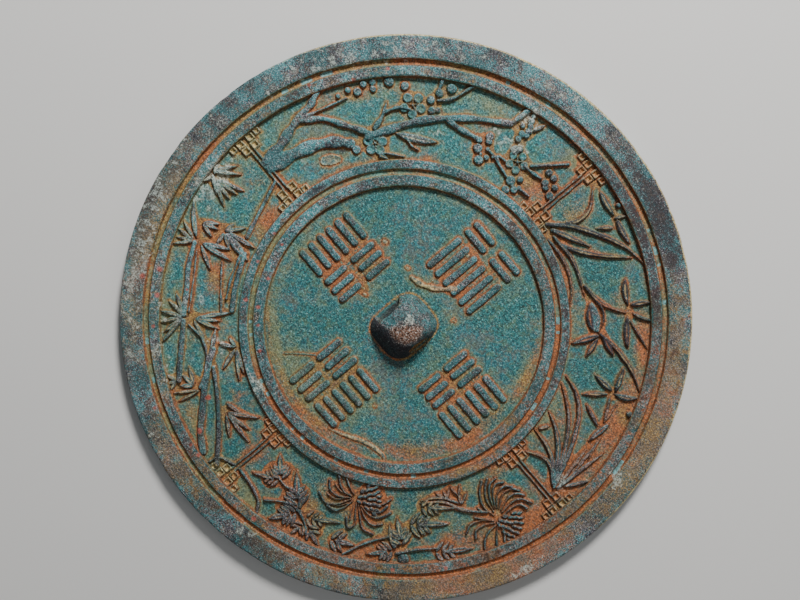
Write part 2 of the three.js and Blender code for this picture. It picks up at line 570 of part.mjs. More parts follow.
// Where raised lines cross, a join leaves edges far shorter than any cast detail.
// Their ends are brought together, and a corner that lies on the long side of a
// thin triangle is tied to the corner across that side.
function withoutSlivers(vertProperties, triVerts) {
  const at = (v) => new THREE.Vector3().fromArray(vertProperties, 3 * v);
  const faces = [];
  const around = new Map();
  const addFace = (face) => {
    faces.push(face);
    face.forEach((v) => around.set(v, (around.get(v) ?? new Set()).add(face)));
  };
  const dropFace = (face) => {
    face.forEach((v) => around.get(v).delete(face));
    face.gone = true;
  };
  for (let i = 0; i < triVerts.length; i += 3) {
    addFace([triVerts[i], triVerts[i + 1], triVerts[i + 2]]);
  }
  const normalOf = ([a, b, c]) => at(b).sub(at(a)).cross(at(c).sub(at(a)));
  const heightOf = (face) => {
    const sides = face.map((v, k) => at(v).distanceTo(at(face[(k + 1) % 3])));
    return normalOf(face).length() / Math.max(...sides);
  };
  const neighbours = (v) => new Set([...around.get(v)].flat());
  const onPlate = (v) => Math.abs(vertProperties[3 * v + 2] - PLATE_THICKNESS) < 1e-6;

  const closeUp = (from, to) => {
    const shared = [...neighbours(from)].filter((v) => v !== from && v !== to && neighbours(to).has(v));
    if (shared.length !== 2) {
      return false;
    }
    const moved = [...around.get(from)].filter((face) => !face.includes(to));
    const turned = moved.map((face) => face.map((v) => (v === from ? to : v)));
    const folds = turned.some((face, k) => {
      const before = normalOf(moved[k]);
      const after = normalOf(face);
      return heightOf(moved[k]) > THINNEST_TRIANGLE && before.dot(after) < 0.5 * before.length() * after.length();
    });
    if (folds) {
      return false;
    }
    [...around.get(from)].forEach(dropFace);
    turned.forEach(addFace);
    return true;
  };

  const acrossFrom = (face, a, b) => [...around.get(a)].find((other) => other !== face && other.includes(b));
  const turnEdge = (face) => {
    const sides = face.map((v, k) => at(v).distanceTo(at(face[(k + 1) % 3])));
    const longest = sides.indexOf(Math.max(...sides));
    const a = face[longest];
    const b = face[(longest + 1) % 3];
    const c = face[(longest + 2) % 3];
    const other = acrossFrom(face, a, b);
    const d = other.find((v) => v !== a && v !== b);
    if (neighbours(c).has(d)) {
      return false;
    }
    const replaced = [[a, d, c], [d, b, c]];
    if (Math.min(...replaced.map(heightOf)) < heightOf(face)) {
      return false;
    }
    dropFace(face);
    dropFace(other);
    replaced.forEach(addFace);
    return true;
  };

  for (let pass = 0; pass < 8; pass += 1) {
    let changes = 0;
    for (const face of [...faces]) {
      for (let k = 0; k < 3 && !face.gone; k += 1) {
        const [a, b] = [face[k], face[(k + 1) % 3]];
        if (at(a).distanceTo(at(b)) < SHORTEST_EDGE) {
          const joined = onPlate(a) ? closeUp(b, a) || closeUp(a, b) : closeUp(a, b) || closeUp(b, a);
          changes += joined ? 1 : 0;
        }
      }
      if (!face.gone && heightOf(face) < THINNEST_TRIANGLE) {
        changes += turnEdge(face) ? 1 : 0;
      }
    }
    const left = faces.filter((face) => !face.gone);
    faces.length = 0;
    faces.push(...left);
    if (changes === 0) {
      break;
    }
  }
  const used = [...new Set(faces.flat())];
  const place = new Map(used.map((v, k) => [v, k]));
  return {
    positions: used.flatMap((v) => at(v).toArray()),
    index: faces.flat().map((v) => place.get(v)),
  };
}

function bronzeMirror() {
  const raised = [
    ...plumPicture(),
    ...orchidPicture(),
    ...chrysanthemumPicture(),
    ...bambooPicture(),
    ...[0, 90, 180, 270].flatMap(dividerAt),
    ...rowsOfStrokes(),
    castingSeam(),
    knob(),
  ];
  const whole = wasm.Manifold.union([disc(), ...raised]);
  const { vertProperties, triVerts } = whole.getMesh();
  const { positions, index } = withoutSlivers(vertProperties, triVerts);
  const geometry = new THREE.BufferGeometry();
  geometry.setAttribute('position', new THREE.Float32BufferAttribute(positions, 3));
  geometry.setIndex(index);
  geometry.computeVertexNormals();
  const bronze = new THREE.MeshStandardMaterial({ color: 0x4b6b64, roughness: 0.75, metalness: 0.4 });
  const mesh = new THREE.Mesh(geometry, bronze);
  mesh.name = 'bronze_mirror';
  return mesh;
}

const mirror = new THREE.Group();
mirror.add(bronzeMirror());

export default mirror;
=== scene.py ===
import math

import bpy
import numpy as np
from mathutils import Matrix, Vector


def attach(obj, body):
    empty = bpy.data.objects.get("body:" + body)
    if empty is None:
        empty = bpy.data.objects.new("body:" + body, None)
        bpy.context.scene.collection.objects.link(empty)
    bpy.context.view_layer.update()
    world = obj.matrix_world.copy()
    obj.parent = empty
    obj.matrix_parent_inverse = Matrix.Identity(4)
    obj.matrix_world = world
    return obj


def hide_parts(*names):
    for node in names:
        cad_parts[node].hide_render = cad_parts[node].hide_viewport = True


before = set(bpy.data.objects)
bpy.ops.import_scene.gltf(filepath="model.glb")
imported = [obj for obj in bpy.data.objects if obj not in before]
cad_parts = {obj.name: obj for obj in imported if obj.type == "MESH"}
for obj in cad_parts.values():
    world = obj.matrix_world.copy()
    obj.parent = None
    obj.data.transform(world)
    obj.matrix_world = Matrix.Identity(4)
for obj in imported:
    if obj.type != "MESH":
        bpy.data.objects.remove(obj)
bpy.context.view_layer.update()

bl_info = {
    "name": "Ancient Bronze Mirror",
    "version": (1, 0, 0),
    "blender": (4, 5, 0),
    "location": "View3D > Sidebar > Bronze Mirror",
    "description": "Cast bronze mirror with a relief band of four plants and a corroded patina",
    "category": "Object",
}

MM = 0.001
NODE = "bronze_mirror"

# The band's carving is drawn on a scale where 58 is its inner edge and 86 its outer
# edge, at a turn in degrees clockwise from +Y seen from above.
DRAWN_INNER = 58.0
DRAWN_OUTER = 86.0

# A gap that counts as far from all raised work, in millimetres.
FAR = 9.0

# The photograph: sensor width in millimetres, picture width in pixels, and the pixels by
# which the field's middle lies right of and below the picture's middle.
SENSOR_WIDTH = 36.0
PICTURE_WIDTH = 800.0
FIELD_IN_PICTURE = (3.65, 26.37)

# Turn of the camera's lean in the picture, in degrees.
LEAN_TURN = 15.3

# The floor's half side and its drop below the mirror, in metres.
FLOOR_HALF = 1.5
FLOOR_DROP = 0.0001

# Lights: name, setting that holds the power, distances up the picture, to its right and
# above the floor, and width, in metres.
LIGHTS = (
    ("key", "key_power", 0.72, 0.22, 0.52, 0.22),
    ("fill", "fill_power", -0.3, 0.7, 0.8, 0.8),
)


# Properties

def length(name, description, default):
    """A length in metres."""
    return bpy.props.FloatProperty(
        name=name, description=description, default=default, unit="LENGTH")


class MirrorSizes(bpy.types.PropertyGroup):
    """Lengths of the mirror: the disc from the rim inwards, the relief and the knob"""
    diameter: length("Diameter", "Across the rim", 0.210)
    plate: length("Plate", "Polished face to the sunk fields", 0.0036)
    rim_width: length("Rim width", "Flat outer rim", 0.0087)
    rim_rise: length("Rim rise", "Rim above the fields", 0.0020)
    outer_groove: length("Outer groove", "Width of the groove inside the rim", 0.0021)
    ridge_width: length("Ridge width", "Low ridge outside the picture band", 0.0040)
    ridge_rise: length("Ridge rise", "Low ridge above the fields", 0.0017)
    band_width: length("Picture band", "Width of the band of plants", 0.0293)
    middle_ring: length("Middle ring", "Ring inside the picture band", 0.0034)
    inner_groove: length("Inner groove", "Groove between the two rings", 0.0020)
    inner_ring: length("Inner ring", "Ring round the inner field", 0.0041)
    ring_rise: length("Ring rise", "Rings above the fields", 0.0014)
    groove_depth: length("Groove depth", "Groove floors below the ridge and rings", 0.0010)
    relief_rise: length("Relief rise", "Plants above the field", 0.00125)
    knob_length: length("Knob length", "Along the cord hole", 0.0194)
    knob_breadth: length("Knob breadth", "Across the cord hole", 0.0224)
    knob_rise: length("Knob rise", "Knob above the inner field", 0.0094)
    hole_width: length("Cord hole width", "Inside the knob", 0.0072)
    hole_height: length("Cord hole height", "Above the inner field", 0.0056)


def swatch(name, description, rgb):
    """A colour swatch whose default is given as display values from 0 to 255."""
    return bpy.props.FloatVectorProperty(
        name=name, description=description, subtype="COLOR", size=3,
        min=0.0, max=1.0, default=linear(rgb))


def linear(rgb):
    """Display value v/255 to linear light: v/12.92 below 0.04045, else ((v+0.055)/1.055)^2.4."""
    values = [v / 255.0 for v in rgb]
    return tuple(v / 12.92 if v <= 0.04045 else ((v + 0.055) / 1.055) ** 2.4 for v in values)


class PatinaColours(bpy.types.PropertyGroup):
    """Colours of the patina, its soils and the studio floor"""
    verdigris: swatch("Verdigris", "Ground of the sunk fields", (52, 130, 130))
    deep_verdigris: swatch("Deep verdigris", "Darker grains of the ground", (20, 70, 70))
    blue_verdigris: swatch("Blue verdigris", "Bluer drifts of the ground", (52, 124, 140))
    green_verdigris: swatch("Green verdigris", "Yellower drifts of the ground", (98, 126, 90))
    pale_verdigris: swatch("Pale verdigris", "Lighter grains of the ground", (132, 184, 178))
    raised_metal: swatch("Raised metal", "Grey tops of the raised work", (106, 98, 104))
    pale_metal: swatch("Pale metal", "Lighter grains of the raised work", (182, 178, 182))
    dark_metal: swatch("Dark metal", "Dark tin-rich patches", (42, 37, 44))
    # Crease: dark dirt and painted shade laid at the foot of every edge
    crease: swatch("Crease", "Dark dirt at the foot of every edge", (26, 26, 24))
    rust_soil: swatch("Rust soil", "Orange earth in the recesses", (190, 106, 52))
    brown_soil: swatch("Brown soil", "Duller earth on the rim", (116, 76, 50))
    olive_soil: swatch("Olive soil", "Yellow-green earth", (146, 138, 84))
    ochre_soil: swatch("Ochre soil", "Yellow earth in the recesses", (172, 134, 68))
    olive_film: swatch("Olive film", "Thin earth round the raised work", (120, 126, 84))
    umber_metal: swatch("Umber metal", "Brown-grey stain on the metal", (116, 104, 86))
    metal_verdigris: swatch(
        "Metal verdigris", "Blue-green spots on the raised work", (54, 124, 128))
    # Cream crust also makes the painted highlight along the rim's outer edge
    cream_crust_and_highlight: swatch("Cream crust", "Yellow-white deposits and worn edges", (206, 182, 122))
    # Bright grains of rubbed metal, partly painted glints
    bright_metal_and_glint: swatch("Bright metal", "Rubbed bright grains on the knob", (224, 210, 200))
    pale_crust: swatch("Pale crust", "Grey-white deposits", (178, 190, 180))
    bright_crust: swatch("Bright crust", "Cyan crystals across the grooves", (104, 170, 172))
    worn_bronze: swatch("Worn bronze", "Coppery metal on the knob", (170, 124, 100))
    red_spot: swatch("Red spot", "Small red oxide spots", (188, 84, 66))
    floor: swatch("Floor", "Pale studio floor", (222, 220, 216))


class StudioSettings(bpy.types.PropertyGroup):
    """The camera's place, the turn of the mirror under it and the lights"""
    lens: bpy.props.FloatProperty(name="Lens", description="Focal length in mm", default=45.0)
    distance: bpy.props.FloatProperty(
        name="Camera distance", description="Camera to the middle of the knob's field",
        default=0.3681, unit="LENGTH")
    tilt: bpy.props.FloatProperty(
        name="Camera tilt", description="Lean of the view from straight down",
        default=math.radians(6.82), subtype="ANGLE")
    roll: bpy.props.FloatProperty(
        name="Turn of the mirror", description="Photograph's up, clockwise from +Y",
        default=math.radians(-49.6), subtype="ANGLE")
    key_power: bpy.props.FloatProperty(name="Key light", description="Watts", default=12.5)
    fill_power: bpy.props.FloatProperty(name="Fill light", description="Watts", default=1.2)


# Shared arithmetic on whole arrays

def hermite(low, high, value):
    """0 below low, 1 above high, and t*t*(3 - 2t) between, for t the share of the way."""
    t = np.clip((value - low) / (high - low), 0.0, 1.0)
    return t * t * (3.0 - 2.0 * t)


def grain(x, y, size, seed):
    """Value noise from -1 to 1: lattice corners hashed by a sine, blended by Hermite weights."""
    u, v = x / size + 137.0, y / size + 59.0
    iu, iv = np.floor(u), np.floor(v)
    fu, fv = hermite(0.0, 1.0, u - iu), hermite(0.0, 1.0, v - iv)

    def corner(a, b):
        h = np.sin(a * 12.9898 + b * 78.233 + seed * 3.7719) * 43758.5453
        return 2.0 * (h - np.floor(h)) - 1.0

    low = corner(iu, iv) * (1.0 - fu) + corner(iu + 1, iv) * fu
    high = corner(iu, iv + 1) * (1.0 - fu) + corner(iu + 1, iv + 1) * fu
    return low * (1.0 - fv) + high * fv


def fractal(x, y, size, seed, octaves=3):
    """Sum of value noises, each half the size and half the strength of the one before."""
    total = np.zeros_like(x)
    for k in range(octaves):
        total += grain(x, y, size / 2 ** k, seed + 11 * k) / 2 ** k
    return total / (2.0 - 2.0 ** (1 - octaves))


def turn_of(x, y):
    """Degrees clockwise from +Y, from -90 to 270."""
    turn = np.degrees(np.arctan2(x, y))
    return np.where(turn < -90.0, turn + 360.0, turn)


def through(points, per_span=5):
    """Points along a Catmull-Rom curve through the given ones, per_span to each span."""
    p = np.asarray(points, dtype=float)
    before = np.vstack([2 * p[0] - p[1], p[:-1]])
    after = np.vstack([p[1:], 2 * p[-1] - p[-2]])
    out = []
    for k in range(len(p) - 1):
        a, b, c, d = before[k], p[k], p[k + 1], after[k + 1]
        t = np.linspace(0.0, 1.0, per_span, endpoint=False)[:, None]
        out.append(0.5 * (2 * b + (c - a) * t + (2 * a - 5 * b + 4 * c - d) * t ** 2
                          + (3 * b - a - 3 * c + d) * t ** 3))
    out.append(p[-1:])
    return np.vstack(out)


class Disc:
    """Radii and heights of the mirror in millimetres, from the sizes in metres. The draft
    is how far a wall leans, and the bevel rounds the rim."""

    def __init__(self, sizes):
        def size(name):
            return getattr(sizes, name) / MM

        self.radius = size("diameter") / 2.0
        self.plate = size("plate")
        self.rim_inner = self.radius - size("rim_width")
        self.ridge_outer = self.rim_inner - size("outer_groove")
        self.band_outer = self.ridge_outer - size("ridge_width")
        self.band_inner = self.band_outer - size("band_width")
        self.ring_middle = self.band_inner - size("middle_ring")
        self.ring_inner = self.ring_middle - size("inner_groove")
        self.field = self.ring_inner - size("inner_ring")
        self.rim_top = self.plate + size("rim_rise")
        self.ridge_top = self.plate + size("ridge_rise")
        self.ring_top = self.plate + size("ring_rise")
        self.groove = size("groove_depth")
        self.rise = size("relief_rise")
        self.unit = size("band_width") / (DRAWN_OUTER - DRAWN_INNER)
        self.knob = (size("knob_length"), size("knob_breadth"), size("knob_rise"))
        self.hole = (size("hole_width"), size("hole_height"))
        self.draft, self.bevel = 0.3, 0.7

    def on_band(self, place):
        """Turn and drawn level to x and y in millimetres."""
        turn, level = place
        radius = self.band_inner + (level - DRAWN_INNER) * self.unit
        return radius * math.sin(math.radians(turn)), radius * math.cos(math.radians(turn))

    def profile(self, radius):
        """Height of the turned disc over the polished face, linear between its edges."""
        floor_out, floor_in = self.ridge_top - self.groove, self.ring_top - self.groove
        edges = [
            (0.0, self.plate), (self.field - self.draft, self.plate), (self.field, self.ring_top),
            (self.ring_inner, self.ring_top), (self.ring_inner + self.draft, floor_in),
            (self.ring_middle - self.draft, floor_in), (self.ring_middle, self.ring_top),
            (self.band_inner, self.ring_top), (self.band_inner + self.draft, self.plate),
            (self.band_outer - self.draft, self.plate), (self.band_outer, self.ridge_top),
            (self.ridge_outer, self.ridge_top), (self.ridge_outer + self.draft, floor_out),
            (self.rim_inner - self.draft, floor_out), (self.rim_inner, self.rim_top),
            (self.radius, self.rim_top),
        ]
        at, height = np.array(edges).T
        return np.interp(radius, at, height)

    def wall_gap(self, radius):
        """Distance outside the nearest raised ring or rim, below 0 on top of one."""
        raised = [(self.field, self.ring_inner), (self.ring_middle, self.band_inner),
                  (self.band_outer, self.ridge_outer), (self.rim_inner, self.radius + FAR)]
        gap = np.full_like(radius, FAR)
        for low, high in raised:
            gap = np.minimum(gap, np.maximum(low - radius, radius - high))
        return gap


def beside(place, right, up):
    """A place next to another one on the band: right is clockwise, up is outwards."""
    turn, level = place
    return turn + math.degrees(right / level), level + up


def toward(place, heading, reach):
    """A place at some reach from another one: heading 0 is clockwise, 90 is outwards."""
    angle = math.radians(heading)
    return beside(place, reach * math.cos(angle), reach * math.sin(angle))


class Relief:
    """Raised work on scattered points: its height, and the distance outside its outline.

    Each stroke is a line with a half width along it. A point's share q is its distance
    from the line over the half width there, and the height is rise*(1 - q^flat)^0.5.
    Where strokes meet, the higher one stands. The crowd adds up exp(-gap/1.6 mm) of every
    stroke near a point, the stain marks worn pale work and the vein marks midribs.
    """

    REACH = 2.6
    CROWD_FALL = 1.6
    VEIN_WIDTH = 0.3

    def __init__(self, disc, x, y):
        self.disc, self.x, self.y = disc, x, y
        self.lift = np.zeros_like(x)
        self.gap = np.full_like(x, FAR)
        self.crowd = np.zeros_like(x)
        self.stain = np.zeros_like(x)
        self.vein = np.zeros_like(x)
        self.wander = 0.17 * fractal(x, y, 1.9, 15, 2)

    def near(self, low, high):
        """Indices of the points inside a box grown by the reach."""
        inside = ((self.x > low[0] - self.REACH) & (self.x < high[0] + self.REACH)
                  & (self.y > low[1] - self.REACH) & (self.y < high[1] + self.REACH))
        return np.nonzero(inside)[0]

    def raise_to(self, at, height, gap):
        """Raises the given points to a height, with their gap to the new outline."""
        self.lift[at] = np.maximum(self.lift[at], height)
        self.gap[at] = np.minimum(self.gap[at], gap)
        self.crowd[at] += np.exp(-np.maximum(gap, 0.0) / self.CROWD_FALL) * (gap > 0.0)

    def stroke(self, line, half, rise, flat=2.6, vein=0.0, dish=0.0, stain=0.0):
        """A raised line through points, in millimetres, with a half width at each.

        Flat is the power of the cross section, vein the depth of the midrib, dish the
        share by which the middle is sunk and stain the strength of the pale wear.
        """
        line, half = np.asarray(line, dtype=float), np.asarray(half, dtype=float)
        at = self.near(line.min(0) - half.max(), line.max(0) + half.max())
        if not len(at):
            return
        p = np.stack([self.x[at], self.y[at]], 1)[:, None, :]
        a, b = line[None, :-1], line[None, 1:]
        along = b - a
        t = np.clip(((p - a) * along).sum(2) / np.maximum((along ** 2).sum(2), 1e-9), 0.0, 1.0)
        distance = np.linalg.norm(p - a - along * t[..., None], axis=2)
        width = half[:-1] + (half[1:] - half[:-1]) * t
        best = np.argmin(distance - width, axis=1)
        row = np.arange(len(at))
        distance, width = distance[row, best] + self.wander[at], width[row, best]
        share = (best + t[row, best]) / (len(line) - 1)
        q = np.clip(distance / width, 0.0, 1.0)
        height = np.sqrt(1.0 - q ** flat) * rise * np.minimum(1.0, 0.5 + width / self.disc.unit)
        height *= 1.0 - dish * (1.0 - q ** 2)
        midrib = np.exp(-(distance / self.VEIN_WIDTH) ** 2) * np.sin(np.pi * share) * (q < 1.0)
        height -= vein * midrib
        if vein:
            self.vein[at] = np.maximum(self.vein[at], midrib)
        height = np.where(q < 1.0, height, 0.0)
        self.raise_to(at, height, distance - width)
        if stain:
            worn = stain * hermite(width + 0.5, width - 0.2, distance)
            self.stain[at] = np.maximum(self.stain[at], worn)

    def leaf(self, start, end, width, bow=0.0, vein=0.16, rise=0.92):
        """A pointed leaf: half width goes as sin(pi s^0.85)^0.9 along it."""
        a, b = (np.array(self.disc.on_band(place)) for place in (start, end))
        along = b - a
        side = np.array([-along[1], along[0]]) / np.linalg.norm(along)
        s = np.linspace(0.0, 1.0, 11)
        line = a + along * s[:, None] + side * (4.0 * s * (1.0 - s) * bow * self.disc.unit)[:, None]
        half = self.disc.unit * (0.12 + (width / 2 - 0.12) * np.sin(np.pi * s ** 0.85) ** 0.9)
        self.stroke(line, half, rise * self.disc.rise, 3.4, vein)

    def blade(self, places, width, vein=0.12):
        """A long leaf, half width going as sin(pi (0.22 + 0.78 s)) along it."""
        line = through([self.disc.on_band(place) for place in places])
        s = np.linspace(0.0, 1.0, len(line))
        half = self.disc.unit * (0.14 + (width / 2 - 0.14) * np.sin(np.pi * (0.22 + 0.78 * s)))
        self.stroke(line, half, 0.95 * self.disc.rise, 3.6, vein)

    def branch(self, places, root, tip, knots=0.18):
        """A woody branch, tapered from root to tip, with knots swelling it."""
        line = through([self.disc.on_band(place) for place in places], 7)
        s = np.linspace(0.0, 1.0, len(line))
        swell = 1.0 + knots * np.sin(s * len(places) * 4.1 + places[0][0])
        half = self.disc.unit * 0.5 * (root + (tip - root) * s) * swell
        self.stroke(line, half, self.disc.rise * 1.04, 3.0)

    def bud(self, place, size, dish=0.0):
        """A round bud or petal."""
        middle = np.array(self.disc.on_band(place))
        half = size * self.disc.unit
        self.stroke([middle - (0.05, 0.0), middle + (0.05, 0.0)], [half, half],
                    self.disc.rise, 4.0, 0.0, dish)

    def blossom(self, place, petals, spread, size, heading):
        """Round dished petals about a raised heart, with a thread to each petal."""
        for k in range(petals):
            self.bud(toward(place, heading + k * 360.0 / petals, spread), size, 0.6)
        self.bud(place, 0.5)
        for k in range(petals):
            tip = toward(place, heading + (k + 0.5) * 360.0 / petals, 0.9 * spread)
            self.leaf(place, tip, 0.5, rise=1.0, vein=0.0)

    def fan(self, hub, tips, width):
        """Leaves from one hub to each of the given tips."""
        clear = 0.06
        for tip in tips:
            start = (hub[0] + clear * (tip[0] - hub[0]), hub[1] + clear * (tip[1] - hub[1]))
            self.leaf(start, tip, width)

    def petals(self, ridges, width=1.0):
        """Petal ridges of a chrysanthemum: thin at the hub, swelling to a curled tip."""
        for places in ridges:
            line = through([self.disc.on_band(place) for place in places])
            s = np.linspace(0.0, 1.0, len(line))
            half = self.disc.unit * width * (0.22 + 0.3 * s)
            self.stroke(line, half, self.disc.rise, 2.6)

    def lobed(self, base, tip, width, pairs):
        """A lobed leaf: a pointed end, pairs of side lobes that lean forward, and a midrib."""
        along = (math.radians(tip[0] - base[0]) * base[1], tip[1] - base[1])
        length = math.hypot(*along)
        ahead = (along[0] / length, along[1] / length)
        side = (-ahead[1], ahead[0])

        def place(s, w):
            return beside(base, ahead[0] * s + side[0] * w, ahead[1] * s + side[1] * w)

        self.leaf(place(0.2 * length, 0.0), tip, width * 0.42, vein=0.22)
        for k in range(pairs):
            foot = length * (0.06 + 0.5 * k / pairs)
            reach = width * (0.78 - 0.14 * k)
            for hand in (-1, 1):
                self.leaf(place(foot, 0.12 * hand), place(foot + 0.75 * reach, hand * reach),
                          width * 0.33, 0.25 * hand, 0.2)

    def scales(self, hub, first, last, near, far, size):
        """Short inner petals pointing away from a hub, in arcs that shift by half a petal."""
        rows = int((far - near) / (1.25 * size)) + 1
        for row in range(rows):
            reach = near + row * 1.25 * size
            count = max(int(math.radians(last - first) * reach / (1.15 * size)), 2)
            for k in range(count):
                heading = first + (last - first) * (k + 0.5 * (row % 2)) / (count - 0.5)
                self.leaf(toward(hub, heading, reach - 0.7 * size),
                          toward(hub, heading, reach + 0.9 * size), size * 1.05, 0.1, 0.0)

    def framed_square(self, turn, level, width, height, line, rise):
        """A raised square frame: the height steps up where its line is near. The pale stain
        fills it, stronger inside the frame than on it."""
        cx, cy = self.disc.on_band((turn, level))
        wide, tall = width * self.disc.unit, height * self.disc.unit
        at = self.near((cx - wide, cy - tall), (cx + wide, cy + tall))
        c, s = math.cos(math.radians(turn)), math.sin(math.radians(turn))
        dx, dy = self.x[at] - cx, self.y[at] - cy
        right, up = dx * c - dy * s, dx * s + dy * c
        outside = np.maximum(np.abs(right) - wide / 2, np.abs(up) - tall / 2)
        depth = line / 2 - np.abs(outside + line / 2) + 0.5 * self.wander[at]
        self.raise_to(at, rise * hermite(0.0, 0.3, depth), -depth)
        stain = np.where(outside < -0.9 * line, 0.72, 0.5 * (depth > 0.0))
        self.stain[at] = np.maximum(self.stain[at], stain)

    def bar(self, ax, ay, bx, by, width, rise, flat=4.0):
        """A straight raised bar with rounded ends, in millimetres."""
        line = np.array([[ax, ay], [bx, by]])
        self.stroke(line, [width / 2, width / 2], rise, flat)


# The raised work, piece by piece

# Frets at a divider's ends: offset in degrees, level, width and height in drawn units.
FRETS = ((1.35, 81.5, 2.9, 3.0), (1.45, 84.7, 2.9, 3.2), (3.6, 84.9, 2.6, 2.8),
         (2.0, 62.2, 3.1, 3.2), (2.2, 59.0, 3.1, 2.9), (5.0, 58.9, 2.6, 2.6))


def carve_divider(relief, turn):
    """A double line between two pictures, with stepped frets at both ends."""
    rise = 0.9
    for side in (-1, 1):
        foot, head = (relief.disc.on_band(beside((turn, level), side * 0.72, 0.0))
                      for level in (63.0, 80.4))
        relief.bar(*foot, *head, 0.85, rise, 3.0)
        for offset, level, width, height in FRETS:
            relief.framed_square(turn + side * offset, level, width, height, 0.8, rise)


def carve_plum(relief):
    """Old plum boughs with blossoms and buds."""
    branch, leaf, blossom, bud = relief.branch, relief.leaf, relief.blossom, relief.bud
    branch([(-89.2, 74.4), (-84, 75.6), (-79.6, 78.4), (-76.2, 80.6)], 4.4, 2.6)
    branch([(-76.6, 80.5), (-73.2, 82.2), (-71.2, 84.2), (-69.4, 87)], 2.4, 2.6)
    branch([(-89.2, 72), (-83, 71), (-76, 70), (-70, 68.2), (-65.7, 65.9)], 5.2, 3.5)
    branch([(-77, 79.8), (-71, 77.2), (-66.5, 73.2), (-62, 69.6), (-58.5, 67.4)], 2.0, 2.2)
    branch([(-76, 80.2), (-69, 80.2), (-63.5, 81.2)], 1.2, 0.8)
    branch([(-60, 66.8), (-54, 68.2), (-46, 71), (-38, 73.4), (-30, 76), (-22, 79)], 3.2, 2.1)
    branch([(-22, 79), (-21, 82), (-19.6, 87)], 1.5, 2.4, 0.0)
    branch([(-57.8, 69.4), (-55.4, 73), (-53.9, 77.7)], 2.2, 0.7)
    branch([(-54.5, 74.5), (-51, 75.6), (-48, 75)], 1.5, 1.2)
    branch([(-41, 78.7), (-37.5, 80.3), (-33.2, 86.6)], 1.1, 1.3)
    branch([(-41.3, 81.6), (-40.6, 86.8)], 1.2, 1.6)
    branch([(-38, 73.4), (-34.5, 71.2), (-28.4, 69.7)], 2.4, 1.9)
    branch([(-28.6, 69.8), (-27.4, 69.4)], 1.9, 2.2)
    branch([(-24.4, 67.6), (-21.4, 66.6), (-19, 64.8), (-15.6, 63)], 1.2, 1.2)
    branch([(-22.2, 66.2), (-20.4, 67.4), (-18.4, 67.2)], 1.1, 1.0)
    branch([(-13, 69.4), (-10.6, 69.2), (-7.2, 69.7)], 1.2, 1.5)
    branch([(-11.6, 70.6), (-4.6, 79.6)], 1.2, 1.2, 0.0)
    branch([(-9.6, 62.2), (-6.2, 62.5)], 1.1, 1.2)
    branch([(-48.4, 64.6), (-47, 62.6), (-45, 61.4)], 0.9, 0.7)
    branch([(-57.6, 59.2), (-56, 60.4), (-49.4, 58.9)], 0.9, 0.8)
    leaf((-52, 67), (-39.4, 64.8), 3.0, -0.5)
    flake = [relief.disc.on_band(place) for place in ((-75, 63.6), (-73, 63), (-71, 62.3))]
    relief.stroke(flake, [1.7, 2.0, 1.4], 0.5, 6.0, 0.0, 0.8, 0.35)
    leaf((-57.8, 60.4), (-54.8, 58.4), 1.6)
    leaf((-14.8, 84.6), (-16.6, 80.4), 1.5)
    blossom((-58.3, 64.2), 5, 2.6, 1.75, 80)
    blossom((-47.3, 76.4), 5, 3.0, 1.7, 54)
    blossom((-15.3, 69), 5, 2.7, 1.45, 80)
    for turn, level, size in (
            (-64.4, 63.4, 1.5), (-60.7, 82.5, 1.5), (-59, 84.6, 1.3), (-56.9, 82.4, 1.2),
            (-56.8, 84.8, 1.2), (-53, 84.5, 1.8), (-49.3, 82.8, 1.5), (-62.8, 83.6, 1.1),
            (-65.4, 82.6, 0.9), (-38.3, 83.5, 1.8), (-42.3, 75.2, 1.3),
            (-40.7, 75.6, 0.9), (-42.8, 78.6, 1.5), (-41, 81.2, 1.4),
            (-27.3, 66.8, 1.7), (-25.6, 63.2, 1.7), (-23.8, 65.1, 1.1), (-24.4, 67.8, 1.0),
            (-25.8, 65.4, 0.6), (-25.4, 72, 1.5), (-25.1, 70.4, 1.3), (-17.6, 72, 1.7),
            (-16.6, 73.2, 1.2), (-13.7, 62.6, 1.7), (-13.3, 59, 1.5), (-11.5, 64.8, 1.1),
            (-11.1, 60.8, 1.3), (-10.2, 62.4, 0.9), (-12.3, 61.4, 0.6), (-6.6, 73, 1.4),
            (-4.6, 72.8, 1.3), (-2.6, 70.9, 1.2), (-5.4, 69.6, 1.4), (-4.4, 68.6, 1.2),
            (-1.9, 67.7, 1.5), (-18.5, 75.9, 1.2), (-18.3, 77.8, 1.3), (-17.3, 79.8, 1.3),
            (-17.2, 78.2, 1.1), (-19.2, 80.4, 1.0), (-18, 83.2, 1.2), (-17.6, 81.6, 1.1),
            (-18.2, 84.8, 0.9)):
        bud((turn, level), size, 0.18)


